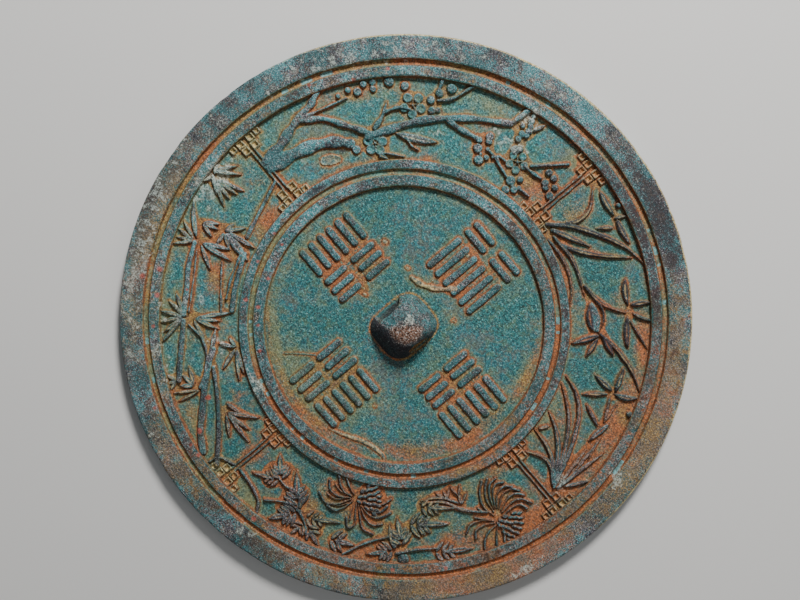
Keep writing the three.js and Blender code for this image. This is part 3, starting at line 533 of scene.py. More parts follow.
def carve_orchid(relief):
    """Two tufts of orchid leaves with their flowers."""
    blade, leaf = relief.blade, relief.leaf
    blade([(7.6, 66.6), (8.8, 71), (7.6, 76.2), (3.4, 81.2)], 1.5)
    blade([(4.4, 60.8), (9, 67.4), (15, 74.8), (20, 81), (25.4, 86.2)], 2.0)
    blade([(12, 61), (17, 66.4), (20.6, 73.6), (23.3, 82.6)], 1.8)
    blade([(7, 61.4), (12, 65.4), (16.8, 70.2)], 2.1)
    blade([(9, 60.6), (19, 63), (30.4, 63.8)], 1.5)
    blade([(9, 58.4), (15, 59.6), (22, 60.3), (28, 59.6), (33.4, 58.2)], 1.2)
    blade([(27.4, 64.4), (32, 67.6), (35, 72.2), (36.6, 77.4)], 1.4)
    blade([(42.4, 68.6), (46, 74.2), (51, 81), (56.2, 86.4)], 1.5)
    leaf((5.4, 82.2), (12.4, 82.2), 2.2, -0.4)
    leaf((13.2, 82.4), (20, 83.4), 2.2, -0.5)
    leaf((14.8, 80), (13, 74.6), 1.3)
    leaf((12.8, 81.6), (13.6, 86.4), 1.2)
    leaf((28, 78.6), (34.6, 78.4), 2.4, -0.6)
    leaf((37.6, 78), (45.8, 78.6), 2.4, -0.5)
    leaf((34.6, 79.4), (34.4, 86.4), 1.9)
    leaf((36.8, 79.8), (38.8, 86.4), 1.5, -0.4)
    leaf((38.4, 78.6), (45.6, 85.6), 1.1)
    leaf((41.8, 67.4), (32.6, 65.9), 4.8, 0.3, 0.0, 0.55)
    leaf((41.6, 66.2), (32.9, 65.2), 2.6, 0.7)
    blade([(31.6, 66.8), (35, 69.3), (38.6, 69.6), (42, 67.9)], 0.9, 0.0)
    relief.bud((10.5, 85), 0.9)
    relief.bud((61.6, 85.2), 1.1)
    leaf((60.4, 79.6), (65.4, 78.6), 0.8)
    leaf((76.4, 80.8), (70.4, 79.6), 0.9)
    leaf((80, 78.6), (74, 77.8), 0.9)
    leaf((42.6, 69.4), (48.2, 74), 2.4)
    leaf((42.8, 68.4), (45.9, 59), 2.4)
    leaf((43.6, 68), (49.6, 64.6), 2.0)
    leaf((57.6, 77.8), (50.8, 78.4), 2.2)
    leaf((58, 77.6), (57.2, 86), 2.4, -0.8)
    leaf((57.6, 76.6), (54.4, 69), 2.2)
    leaf((58.6, 75.6), (61, 67.2), 1.5)
    leaf((59.2, 76.6), (66, 78.4), 1.3)
    leaf((67.6, 77), (63.4, 69.8), 1.6)
    leaf((65.6, 80.2), (72.2, 76.8), 2.2)
    leaf((70, 80), (84, 80), 1.3)
    blade([(87.4, 78.4), (78, 73.8), (68, 69.6), (61.6, 65), (57.2, 59.4)], 1.7)
    blade([(87, 77.8), (79, 72.6), (69, 66.2), (60.2, 59)], 1.7)
    blade([(86.6, 77), (80.4, 71.4), (75, 65.6), (70.8, 59.4)], 2.2)
    blade([(86.2, 76.4), (82, 70), (80, 65), (78.6, 58.8)], 1.6)
    blade([(87, 77), (83.8, 71.4), (84, 66.4), (86.8, 61.2)], 1.5)
    blade([(86.8, 79.4), (79, 81), (72.6, 83.8)], 1.7)
    leaf((85.6, 80.6), (79.8, 86.2), 1.8)
    leaf((86, 79), (75, 77.6), 1.3)
    leaf((77.6, 59.8), (74.6, 62.4), 1.5)


def carve_chrysanthemum(relief):
    """Chrysanthemums with curling petals, seen from the side, and lobed leaves."""
    petals, lobed, leaf, scales = relief.petals, relief.lobed, relief.leaf, relief.scales
    branch, blade, bud, fan = relief.branch, relief.blade, relief.bud, relief.fan
    petals((
        [(103.2, 77), (99.6, 75.6), (97.2, 76.2), (96.4, 78.6)],
        [(102.6, 75.6), (99, 73.9), (96.2, 74.6), (94.5, 77.8)],
        [(102.6, 74.6), (99, 71.8), (96.4, 72), (94.9, 74)],
        [(103, 73.8), (100, 69.9), (97, 69.5), (95.3, 71.6)],
        [(103.4, 73.2), (101.2, 68.6), (98.4, 67.4), (96.5, 69)],
        [(103.8, 73), (102.4, 67.6), (100.2, 65.2), (98, 65.9)],
        [(104.2, 73), (103.6, 67.8), (101.8, 64.2), (99.4, 63.4)],
        [(104.6, 74), (105, 69), (104, 65.2), (101.8, 62)],
        [(105, 75.4), (106.6, 70.6), (106, 65.6), (103.8, 62)],
        [(105.6, 77), (108.8, 75.2), (111.8, 75.4), (113.6, 78)],
        [(105.6, 77.8), (108.4, 77.2), (110.9, 78), (111.7, 80.8)],
        [(105.4, 78.8), (107.8, 80), (109.6, 82.4), (110.4, 85.6)],
        [(105.2, 79.2), (106.4, 82), (107.4, 85.6)],
        [(104.6, 79.4), (104.4, 82), (105.4, 85.8)]))
    petals(([(106, 76.2), (108, 75), (110, 73.4)], [(105, 74), (107.2, 72.4), (108.2, 70.6)]), 0.8)
    scales((105, 77.2), 96, 176, 1.8, 9.4, 1.35)
    petals((
        [(145.2, 66), (144.7, 70.2), (144.2, 74), (145.8, 75.6), (146.9, 72.4)],
        [(144.6, 66), (143.2, 70.6), (141.8, 74.6), (138.8, 76.2)],
        [(144, 66.4), (141.8, 70.6), (139.2, 72.8), (136.6, 72)],
        [(143.6, 66.6), (140.6, 69.4), (137.6, 69.8), (134.4, 67.6)],
        [(142.6, 66.8), (140, 67.8), (137.4, 67.6), (135.6, 65.2)],
        [(139, 65), (136.6, 64.4), (134.6, 62.4)],
        [(146.6, 65.8), (148.6, 69.2), (151, 71), (153.4, 70.2)],
        [(147.2, 65.2), (150.4, 68.3), (154, 69.6), (157.2, 67)],
        [(147.6, 64.8), (151, 65.6), (154.2, 64.6), (155.9, 61.4)],
        [(147.2, 64), (149.8, 63.4), (152.2, 61), (153.4, 58.6)],
        [(146.6, 63.2), (148.6, 61.2), (150.6, 58.4)]))
    petals(([(147.6, 67), (150, 68.8), (152.6, 69.2)],
            [(148, 65), (151.6, 67), (154.6, 66.4)],
            [(148.4, 63.9), (151, 63.6), (153.6, 62)],
            [(145.8, 67.4), (146, 70.4), (145.8, 73)]), 0.6)
    scales((146, 64.4), 150, 236, 2.0, 9.0, 1.35)
    blade([(106.4, 73), (112.4, 69.4), (117, 65.2), (120.6, 64.2), (125, 64)], 1.3)
    blade([(113.4, 66.2), (117, 63.6), (121, 62.7), (124.8, 63.4)], 1.2)
    branch([(121.4, 81.2), (126.6, 81), (132.2, 82.5)], 1.0, 1.0)
    branch([(134.4, 76.4), (140, 79.6), (145.2, 85.6)], 1.1, 1.0)
    branch([(168.2, 86.6), (170, 82), (174, 79.4), (178.8, 78.2)], 1.3, 1.2)
    branch([(154.6, 85), (156.6, 80.2), (159.4, 77)], 0.9, 1.2)
    branch([(159.4, 76.8), (163.6, 76.4), (168.8, 80.4)], 1.0, 0.8)
    branch([(160.2, 77), (162, 71.2), (166.4, 71.6), (169, 70.8)], 1.0, 0.9)
    lobed((129, 71.6), (117.6, 73), 6.0, 3)
    lobed((125.4, 65.4), (113.6, 68.2), 4.2, 3)
    lobed((130.8, 79.6), (132.4, 69), 5.8, 3)
    lobed((122.8, 82.6), (113, 84), 5.2, 3)
    lobed((133, 81.4), (139.6, 84), 5.0, 3)
    lobed((149.4, 81.8), (143, 81.6), 5.6, 2)
    lobed((156, 80.2), (151.4, 85.8), 4.6, 2)
    lobed((157, 80.4), (159, 86.6), 3.8, 2)
    lobed((160, 77.6), (165.4, 85.6), 5.8, 3)
    lobed((157.6, 78), (148, 74.8), 4.0, 3)
    lobed((160.4, 75.8), (166.6, 64.6), 6.2, 3)
    lobed((169, 71.2), (176, 75.8), 4.0, 3)
    lobed((168.6, 70.8), (174, 64), 5.2, 3)
    leaf((133, 80.6), (134.4, 71.6), 1.6, 0.4)
    leaf((159.8, 76), (160.8, 71.6), 1.6)
    bud((130.4, 84.6), 2.1)
    bud((132.8, 79.8), 0.9)
    fan((112.6, 67.4), ((112.4, 63.2), (109.6, 63.6)), 1.2)
    fan((112.6, 64.2), ((111.2, 60.4), (114.3, 59.8)), 1.1)
    fan((116.4, 64), ((114.9, 60.4), (117, 61), (119.8, 61)), 1.1)


def carve_bamboo(relief):
    """Bamboo canes with sprays of pointed leaves."""
    branch, leaf, fan = relief.branch, relief.leaf, relief.fan
    branch([(183.6, 83.6), (189.4, 77), (195.4, 72.8), (202, 70), (208, 68.9)], 2.0, 1.5, 0.05)
    branch([(188, 85), (193, 81.6), (199, 76.6), (205, 72.8), (213.4, 68)], 2.8, 2.4, 0.05)
    branch([(203.4, 75.6), (208.6, 71.4), (213.4, 70.3), (217.4, 71.8), (220.8, 75.8)], 1.0, 1.0)
    branch([(206.6, 82.2), (213.6, 79.4), (221.6, 77.6)], 2.3, 2.1, 0.05)
    branch([(223.4, 77.6), (230, 77.3), (236, 78.2), (242.4, 78.7)], 2.4, 1.9, 0.05)
    branch([(225.6, 60.6), (234, 60.6), (245, 60.9)], 2.1, 1.8, 0.05)
    branch([(229.2, 63), (236, 62.6), (245.2, 62.2)], 1.0, 1.0)
    branch([(225, 64.4), (232.6, 65.5), (240, 67.4)], 1.0, 0.8)
    branch([(250.2, 62.9), (257.6, 63.7), (263, 65), (269.2, 67.3)], 1.7, 1.3, 0.05)
    branch([(224, 75.8), (232, 75.4), (240.6, 77)], 0.8, 0.8)
    branch([(185.2, 85.2), (184.6, 81.4), (180.8, 78.6)], 0.8, 0.9)
    fan((194.2, 70.4), ((187.6, 74), (183.2, 69.3), (186.2, 66.6), (190, 64.2), (187.6, 61)), 1.7)
    leaf((196.6, 68.8), (191.6, 65.6), 1.6)
    fan((202.7, 75.6), ((201.5, 84.6), (203.9, 85.4)), 1.3)
    fan((204.2, 77.4), ((205.2, 82.6), (207.9, 80.6), (209.4, 77.6)), 1.9)
    fan((206.6, 83.2), ((204.6, 86.4), (206.4, 86.8), (208.6, 86.4)), 1.2)
    fan((213, 59.6), ((206.8, 65.8), (201.8, 61.4), (203.2, 59), (216.4, 61.6), (214.9, 65.6)), 1.7)
    leaf((211.6, 69), (219.8, 66.2), 1.9)
    fan((222.8, 77.4), ((216.4, 85.8), (218.8, 84.8), (221.2, 86), (223.9, 86), (226.6, 83.2),
                        (228.6, 80.8)), 1.7)
    fan((222.4, 74.2), ((216.2, 70.4), (219.4, 65.2), (221.9, 64.4), (224.9, 60.8)), 1.8)
    fan((242.6, 78.6), ((240.2, 86), (241.9, 85.8), (243.9, 86), (246, 85)), 1.5)
    leaf((243.4, 78.4), (251.6, 85.4), 2.2, 0.5)
    fan((242.8, 76.8), ((236.6, 70.4), (241.2, 64.4), (244.4, 66.2)), 2.0)
    fan((247.8, 79.2), ((245.4, 73.8), (248, 73), (249.6, 73.4)), 1.7)
    fan((248.3, 70.6), ((243.4, 71.4), (244, 66.4), (252.4, 64.8), (251.8, 69)), 1.6)
    leaf((248.2, 70), (243.2, 59), 3.2)
    leaf((248.7, 69.6), (248.2, 58.8), 2.0)
    fan((258.6, 83.4), ((254.2, 75.2), (256.6, 75), (258.9, 74), (260.8, 72.8)), 1.8)
    fan((259.4, 85.6), ((255.6, 79.4), (263.6, 77.2), (264.6, 80.2)), 1.7)
    fan((259, 84), ((256, 86.6), (262.2, 86.8)), 1.4)


def carve_stroke_rows(relief):
    """Rows of plain short strokes in four square blocks round the knob."""
    disc = relief.disc
    middle = (disc.knob[1] / 2 + disc.field) / 2 + 0.04 * disc.field
    width, block_side, rise = 2.7, 25.0, 0.95
    half = (block_side - width) / 2

    def block(cx, cy, strokes):
        for x0, y0, x1, y1 in strokes:
            relief.bar(cx + x0 * half, cy + y0 * half, cx + x1 * half, cy + y1 * half,
                       width, rise)

    def level(left, right, heights):
        return [(left, y, right, y) for y in heights]

    def upright(low, high, places):
        return [(x, low, x, high) for x in places]

    block(0, middle, level(-1, -0.25, (1, 0.62)) + level(0.25, 1, (1, 0.62))
          + upright(-1, 0.2, (-1, -0.6, -0.2, 0.2, 0.6, 1)))
    block(middle, 0, upright(0.2, 0.95, (-1, -0.65, -0.3)) + upright(-0.9, -0.2, (-1, -0.65, -0.3))
          + level(0.1, 1, (0.95, 0.57, 0.19, -0.19, -0.57, -0.95)))
    block(0, -middle, upright(0.2, 1, (-1, -0.6, -0.2)) + upright(-1, -0.2, (-1, -0.6, -0.2))
          + level(0.2, 1, (0.92, 0.55, 0.18, -0.19, -0.56, -0.93)))
    block(-middle, 0, level(-1, -0.15, (0.95, 0.57, 0.19, -0.19, -0.57, -0.95))
          + upright(-0.95, -0.25, (0.25, 0.62, 1)) + upright(0.2, 0.95, (0.25, 0.62, 1)))


# Small lumps of the inner field: turn, share of the field's radius, and size.
LUMPS = ((-62, 0.62, 1.1), (-8, 0.68, 1.0), (-100, 0.36, 0.8), (-96, 0.4, 0.7),
         (34, 0.36, 0.7), (150, 0.62, 0.6), (-46, 0.42, 0.9), (84, 0.88, 1.2))


def carve_flaws(relief):
    """The casting seam by the knob, a lifted skin along the inner ring and small lumps."""
    reach = relief.disc.field

    def line(*places):
        points = through(np.array(places) * reach)
        return points, np.linspace(0.0, 1.0, len(points))

    seam, s = line((-0.23, 0.27), (-0.13, 0.3), (-0.03, 0.38), (0.03, 0.46))
    relief.stroke(seam, 0.7 + 0.4 * np.sin(9.0 * s) ** 2, 0.75, 2.0, 0.3, 0.0, 0.62)
    skin, s = line((0.22, -0.9), (0.34, -0.84), (0.48, -0.76), (0.62, -0.73), (0.68, -0.76))
    relief.stroke(skin, 0.3 + 0.6 * np.sin(np.pi * s), 0.4, 2.0, -0.15, 0.0, 0.5)
    scar, s = line((-0.4, -0.78), (-0.33, -0.7), (-0.25, -0.62))
    relief.stroke(scar, 0.4 + 0.0 * s, 0.3, 2.0)
    for turn, share, size in LUMPS:
        angle = math.radians(turn)
        spot = np.array([math.sin(angle), math.cos(angle)]) * share * reach
        relief.stroke([spot - (0.3, 0.1), spot + (0.3, 0.1)], [0.7 * size, 0.7 * size],
                      0.2, 2.0, 0.0, 0.0, 0.55)


# The skins of the mirror: the turned disc, four pictures, the inner field and the knob

# How far a skin runs on under the next one, how deep the turned disc is sunk under the
# other skins, and how deep these reach, in millimetres.
HIDDEN = 0.4
POCKET_FLOOR = 0.55
SLAB_DEPTH = 1.1

# Points round the disc and round the field's outer rings.
ROUND = 960

# The knob from foot to crown: share of its rise, of its half length and of its half
# breadth, and the power of the superellipse.
KNOB_LEVELS = (
    (-0.06, 1.1, 1.08, 3.4), (0.0, 1.0, 1.0, 3.4), (0.08, 0.985, 0.98, 3.4),
    (0.25, 0.95, 0.92, 3.2), (0.45, 0.89, 0.83, 3.0), (0.64, 0.8, 0.72, 2.8),
    (0.79, 0.7, 0.6, 2.6), (0.9, 0.56, 0.47, 2.4), (0.97, 0.38, 0.32, 2.3),
    (1.0, 0.18, 0.15, 2.2),
)

# The cord hole: share of the knob's length, and millimetres by which it is wider there.
HOLE_SECTIONS = ((-0.62, 3.2), (-0.5, 2.0), (-0.38, 0.8), (-0.22, 0.0),
                 (0.22, 0.0), (0.38, 0.5), (0.5, 1.3), (0.62, 2.2))


def turned_edges(disc):
    """Radii of the disc's walls, from the rim inwards, top edge and foot of each."""
    d = disc.draft
    return [disc.rim_inner, disc.rim_inner - d, disc.ridge_outer + d, disc.ridge_outer,
            disc.band_outer, disc.band_outer - d, disc.band_inner + d, disc.band_inner,
            disc.ring_middle, disc.ring_middle - d, disc.ring_inner + d, disc.ring_inner,
            disc.field, disc.field - d]


def even_steps(start, stop, step):
    """Values from start towards stop, about step apart, without stop itself."""
    count = max(int(round(abs(start - stop) / step)), 1)
    return list(np.linspace(start, stop, count, endpoint=False))


def ring_mesh(rings, closed_below):
    """Points and faces of a stack of rings, (count, radius, height) each.

    A ring at radius r has its points at r*(sin a, cos a) for equal steps of a. Equal rings
    are joined by quads, and where the count halves or doubles, by three triangles for each
    point of the ring with fewer points. The first and last rings close on a middle point.
    """
    points, starts, total = [np.array([[0.0, 0.0, closed_below]])], [], 1
    for count, radius, z in rings:
        angle = np.arange(count) * (2.0 * math.pi / count)
        points.append(np.stack([radius * np.sin(angle), radius * np.cos(angle),
                                np.full(count, z)], 1))
        starts.append(total)
        total += count
    points.append(np.array([[0.0, 0.0, np.nan]]))
    first, last = rings[0][0], rings[-1][0]
    k = np.arange(first)
    faces = [np.stack([np.zeros_like(k), starts[0] + k, starts[0] + (k + 1) % first], 1)]
    for i in range(len(rings) - 1):
        n, m, a, b = rings[i][0], rings[i + 1][0], starts[i], starts[i + 1]
        k = np.arange(min(n, m))
        if n == m:
            faces.append(np.stack([a + k, b + k, b + (k + 1) % n, a + (k + 1) % n], 1))
        elif n == 2 * m:
            a0, a1, a2 = a + 2 * k, a + 2 * k + 1, a + (2 * k + 2) % n
            b0, b1 = b + k, b + (k + 1) % m
            corners = (a0, b0, a1), (a1, b0, b1), (a1, b1, a2)
            faces += [np.stack(three, 1) for three in corners]
        else:
            b0, b1, b2 = b + 2 * k, b + 2 * k + 1, b + (2 * k + 2) % m
            a0, a1 = a + k, a + (k + 1) % n
            corners = (a0, b0, b1), (a0, b1, a1), (a1, b1, b2)
            faces += [np.stack(three, 1) for three in corners]
    k = np.arange(last)
    end = np.full(last, total)
    faces.append(np.stack([starts[-1] + k, end, starts[-1] + (k + 1) % last], 1))
    return np.vstack(points), faces


def disc_rings(disc):
    """Rings of the turned disc: underside, edge, rim, ridge and rings, with sunk pockets
    where the pictures and the inner field lie. A height that isn't a number is set later."""
    corner, floor, step = disc.radius - disc.bevel, disc.plate - POCKET_FLOOR, 0.6
    rings = [(120, 25.0, 0.0), (240, 70.0, 0.0), (480, 95.0, 0.0), (ROUND, corner, 0.0),
             (ROUND, disc.radius - 0.25, 0.2), (ROUND, disc.radius, disc.bevel)]
    rings += [(ROUND, disc.radius, z) for z in np.linspace(1.5, disc.rim_top - disc.bevel, 5)]
    rings.append((ROUND, disc.radius - 0.2, disc.rim_top - 0.25))
    edges = turned_edges(disc)
    radii = even_steps(corner, edges[0] + 0.2, step)
    for k in range(0, len(edges), 2):
        high, low = edges[k], edges[k + 1]
        radii += [high + 0.15, high, (high + low) / 2, low, low - 0.15]
        if k + 2 < len(edges) and high != disc.band_outer:
            radii += even_steps(low - 0.3, edges[k + 2] + 0.3, step)
    radii = sorted(set(round(float(r), 4) for r in radii), reverse=True)
    pockets = ((disc.band_inner + disc.draft, disc.band_outer - disc.draft),
               (0.0, disc.field - disc.draft))
    for radius in radii:
        if not any(low - 0.01 < radius < high + 0.01 for low, high in pockets):
            rings.append((ROUND, radius, np.nan))
        elif radius > disc.field:
            rings.append((ROUND, radius, floor))
    rings += [(ROUND, disc.field - disc.draft, floor), (480, 46.0, floor), (240, 24.0, floor),
              (120, 8.0, floor)]
    return rings


def picture_grid(disc, first, last):
    """A quarter of the picture band as a closed slab.

    The top is a grid in turn and radius, its outer row first. Below it stand two arcs, and
    walls, ends and the bottom join them.
    """
    n, m = 113, 541
    turns = np.radians(np.linspace(first, last, m))
    outer, inner = disc.band_outer + HIDDEN, disc.band_inner - HIDDEN
    radii = np.linspace(outer, inner, n)
    top = np.stack([np.outer(radii, np.sin(turns)), np.outer(radii, np.cos(turns)),
                    np.full((n, m), np.nan)], 2).reshape(-1, 3)
    floor = disc.plate - SLAB_DEPTH
    arcs = [np.stack([r * np.sin(turns), r * np.cos(turns), np.full(m, floor)], 1)
            for r in (outer, inner)]
    grid = np.arange(n * m).reshape(n, m)
    below_outer, below_inner = n * m + np.arange(m), n * m + m + np.arange(m)

    def strip(a, b):
        return np.stack([a[:-1], a[1:], b[1:], b[:-1]], 1)

    faces = [np.stack([grid[:-1, :-1], grid[1:, :-1], grid[1:, 1:], grid[:-1, 1:]],
                      2).reshape(-1, 4)]
    walls = [strip(grid[0], below_outer), strip(below_inner, grid[-1]),
             strip(below_outer, below_inner),
             np.concatenate([[grid[0, 0], below_outer[0], below_inner[0]], grid[:0:-1, 0]])[None],
             np.concatenate([grid[:, -1], [below_inner[-1], below_outer[-1]]])[None]]
    return np.vstack([top] + arcs), faces, walls


def field_rings(disc):
    """Rings of the inner field's closed slab, finer where its strokes stand."""
    floor = disc.plate - SLAB_DEPTH
    outer = disc.field + HIDDEN
    rings = [(240, 20.0, floor), (480, 40.0, floor), (ROUND, outer, floor)]
    for count, start, stop, step in ((ROUND, outer, 25.0, 0.345), (480, 25.0, 12.5, 0.36),
                                     (240, 12.5, 7.0, 0.6)):
        rings += [(count, r, np.nan) for r in even_steps(start, stop, step)]
    return rings + [(120, 7.0, np.nan), (120, 3.0, np.nan)]


def knob_loft(disc):
    """Rings of the knob: superellipses |x/a|^n + |y/b|^n = 1 that shrink to a worn crown,
    which leans by the square of its share of the rise."""
    length, breadth, rise = disc.knob
    count, lean_along, lean_across = 64, 0.3, 2.2
    angle = np.arange(count) * 2.0 * math.pi / count
    c, s = np.cos(angle), np.sin(angle)
    points = []
    for height, along, across, power in KNOB_LEVELS:
        radius = (np.abs(c) ** power + np.abs(s) ** power) ** (-1.0 / power)
        lean = max(height, 0.0) ** 2
        points.append(np.stack([c * radius * along * length / 2 + lean_along * lean,
                                s * radius * across * breadth / 2 + lean_across * lean,
                                np.full(count, disc.plate + height * rise)], 1))
    return points


def closed_loft(points):
    """Points and faces of a tube through equal rings, with both ends closed."""
    count, rings = len(points[0]), len(points)
    k = np.arange(count)
    faces = []
    for i in range(rings - 1):
        a, b = i * count, (i + 1) * count
        faces += np.stack([a + k, a + (k + 1) % count, b + (k + 1) % count, b + k], 1).tolist()
    faces.append(k[::-1].tolist())
    faces.append((k + (rings - 1) * count).tolist())
    return np.vstack(points), faces


def bore_loft(disc):
    """Arched sections along X, wide at both mouths and narrow inside."""
    length = disc.knob[0]
    width, height = disc.hole
    sections, sunk = [], -2.0
    for share, wider in HOLE_SECTIONS:
        half, tall = width / 2 + wider, height + wider * 1.1
        angle = np.linspace(0.0, math.pi, 17)
        rise = min(half, tall * 0.6)
        y = np.concatenate([[half], half * np.cos(angle), [-half]])
        z = np.concatenate([[sunk], tall - rise + rise * np.sin(angle), [sunk]]) + disc.plate
        sections.append(np.stack([np.full(len(y), share * length), y, z], 1))
    return sections


def temporary(name, points, faces):
    """A plain object from points in millimetres, to be cut and thrown away."""
    mesh = bpy.data.meshes.new(name)
    mesh.from_pydata((points * MM).tolist(), [], faces)
    piece = bpy.data.objects.new(name, mesh)
    bpy.context.scene.collection.objects.link(piece)
    return piece


def knob_skin(disc):
    """The pierced knob: loft minus bore, remeshed in small even cells and worn smooth."""
    body = temporary("knob_body", *closed_loft(knob_loft(disc)))
    bore = temporary("knob_bore", *closed_loft(bore_loft(disc)))
    cell = 0.42 * MM
    cut = body.modifiers.new("cut", "BOOLEAN")
    cut.operation, cut.object, cut.solver = "DIFFERENCE", bore, "EXACT"
    remesh = body.modifiers.new("even", "REMESH")
    remesh.mode, remesh.voxel_size = "VOXEL", cell
    relax = body.modifiers.new("worn", "SMOOTH")
    relax.factor, relax.iterations = 0.5, 6
    triangles = body.modifiers.new("triangles", "TRIANGULATE")
    triangles.quad_method = "SHORTEST_DIAGONAL"
    bpy.context.view_layer.update()
    shaped = body.evaluated_get(bpy.context.evaluated_depsgraph_get())
    mesh = bpy.data.meshes.new_from_object(shaped)
    points = np.empty(len(mesh.vertices) * 3)
    mesh.vertices.foreach_get("co", points)
    corners = np.empty(len(mesh.loops), dtype=np.int32)
    mesh.loops.foreach_get("vertex_index", corners)
    for piece in (body, bore):
        data = piece.data
        bpy.data.objects.remove(piece)
        bpy.data.meshes.remove(data)
    bpy.data.meshes.remove(mesh)
    return points.reshape(-1, 3) / MM, corners.reshape(-1, 3)


def worn_knob(disc):
    """The knob's points pushed out and in by noise, no higher than its rise."""
    middle, strength, below_top = 3.0, 0.1, 0.02
    points, faces = knob_skin(disc)
    x, y, z = points.T
    ripple = fractal(x + z, y - z, 2.2, 81) + 2.2 * fractal(x - z, y + z, 6.0, 85)
    outward = points - np.array([0.0, 0.0, disc.plate + middle])
    outward /= np.linalg.norm(outward, axis=1, keepdims=True)
    points = points + outward * (strength * ripple)[:, None]
    points[:, 2] = np.minimum(points[:, 2], disc.plate + disc.knob[2] - below_top)
    return points, faces


def turn_away(turn, at):
    """Degrees from a given turn, from -180 to 180."""
    return (turn - at + 180.0) % 360.0 - 180.0


def patches(turn, radius, table):
    """Soft ellipses: the strongest of strength*exp(-(dt/wt)^2 - (dr/wr)^2) at each point."""
    total = np.zeros_like(turn)
    for at, level, half_turn, half_level, strength in table:
        dt = turn_away(turn, at)
        near = np.exp(-(dt / half_turn) ** 2 - ((radius - level) / half_level) ** 2)
        total = np.maximum(total, strength * near)
    return total


def bridged(turn, table):
    """1 where a crust of the table bridges its groove, fading at both ends."""
    total = np.zeros_like(turn)
    for at, half in table:
        reach = hermite(half + 0.25, half - 0.1, np.abs(turn_away(turn, at)))
        total = np.maximum(total, reach)
    return total


def along_grooves(grooves, turn, table):
    """The strongest soil at each point, of arcs that fade over 6 degrees at both ends."""
    total, soft = np.zeros_like(turn), 3.0
    for name, strength, low, high in table:
        half, away = (high - low) / 2, np.abs(turn_away(turn, (low + high) / 2))
        arc = hermite(half + soft, half - soft, away)
        total = np.maximum(total, grooves[name] * strength * arc)
    return total


def red_spots(disc, x, y):
    """1 on the small red spots, fading over half their size."""
    total = np.zeros_like(x)
    for at, level, size in RED_SPOTS:
        away = disc.radius * level / 100.0
        sx, sy = away * math.sin(math.radians(at)), away * math.cos(math.radians(at))
        total = np.maximum(total, hermite(size * 1.1, size * 0.5, np.hypot(x - sx, y - sy)))
    return total


# Patches of the patina: turn, share of the radius in hundredths, half turn, half width
# in hundredths and strength. Dark tops lie only on raised work.
RUST = (
    (100, 84, 13, 7, 0.9), (62, 84, 15, 6, 0.85), (44, 84, 9, 4, 0.9), (75, 68, 14, 8, 0.5),
    (80, 82, 10, 6, 0.8), (93, 60, 9, 5, 0.7), (115, 80, 14, 6, 0.62), (125, 62, 24, 4, 0.4),
    (140, 84, 12, 5, 0.7), (178, 47, 32, 2.6, 0.7), (62, 47, 22, 2.6, 0.65),
    (-140, 48, 24, 1.6, 0.5), (128, 45, 30, 5, 0.55), (100, 46, 24, 4, 0.7),
    (150, 66, 10, 9, 0.65), (158, 73, 5, 5, 0.7), (160, 86, 10, 3, 0.7), (180, 70, 4, 16, 0.6),
    (192, 68, 7, 5, 0.5), (206, 81, 6, 5, 0.6), (198, 82, 6, 4, 0.5), (215, 75, 10, 4, 0.35),
    (236, 67, 8, 5, 0.6), (222, 68, 5, 6, 0.5), (256, 60, 9, 3.5, 0.85), (247, 68, 6, 6, 0.6),
    (264, 72, 6, 6, 0.35), (-60, 58, 34, 2.5, 0.7), (-62, 82, 12, 3, 0.6), (-46, 76, 8, 5, 0.5),
    (-30, 75, 12, 3, 0.45), (-10, 66, 10, 5, 0.7), (-4, 60, 8, 4, 0.6), (0, 70, 2.5, 14, 0.5),
    (-90, 70, 2.5, 14, 0.6), (90, 70, 3, 14, 0.7), (8, 70, 8, 8, 0.45), (24, 59, 8, 2.5, 0.8),
    (110, 90, 30, 5, 0.55), (98, 96, 12, 4, 0.8), (118, 96, 8, 4, 0.35), (60, 88, 22, 3, 0.45),
    (35, 75, 6, 6, 0.4), (12, 31, 4, 7, 0.4), (20, 28, 5, 6, 0.5),
)
OLIVE = (
    (190, 40, 32, 9, 0.68), (215, 46, 34, 3.5, 0.75), (160, 30, 30, 10, 0.55),
    (60, 45, 24, 4, 0.6), (100, 38, 14, 8, 0.45), (-100, 46, 30, 3, 0.5),
    (235, 30, 14, 8, 0.35), (20, 40, 12, 6, 0.35), (-30, 47, 40, 2, 0.45), (0, 16, 180, 4, 0.4),
    (130, 74, 30, 9, 0.5), (-28, 81, 9, 5, 0.62), (-78, 80, 9, 4, 0.55), (0, 83, 6, 4, 0.9),
    (0, 60, 7, 3, 0.8), (-90, 83, 6, 4, 0.9), (-90, 61, 6, 4, 0.7), (180, 83, 9, 4, 0.85),
    (180, 60, 8, 4, 0.8), (172, 84, 7, 4, 0.8), (90, 62, 8, 4, 0.5), (195, 82, 10, 4, 0.8),
    (230, 85, 14, 3, 0.7), (212, 70, 8, 5, 0.5), (125, 70, 16, 8, 0.55), (165, 63, 10, 6, 0.5),
    (245, 85, 8, 3, 0.6), (75, 60, 12, 4, 0.6), (40, 60, 9, 4, 0.35), (150, 80, 8, 6, 0.5),
    (108, 62, 8, 5, 0.5), (-72, 63, 6, 4, 0.5), (220, 74, 8, 4, 0.4), (260, 64, 6, 3, 0.5),
    (130, 96, 10, 4, 0.3), (259, 80, 8, 7, 0.7), (243, 82, 6, 5, 0.7), (222, 81, 8, 6, 0.75),
    (204, 82, 6, 5, 0.6), (221, 67, 6, 6, 0.5), (212, 62, 9, 4, 0.55), (250, 72, 6, 4, 0.4),
    (190, 68, 7, 6, 0.5), (-46, 82, 8, 4, 0.4), (-58, 79, 9, 4, 0.35), (9, 72, 6, 8, 0.4),
    (140, 38, 20, 8, 0.3),
)
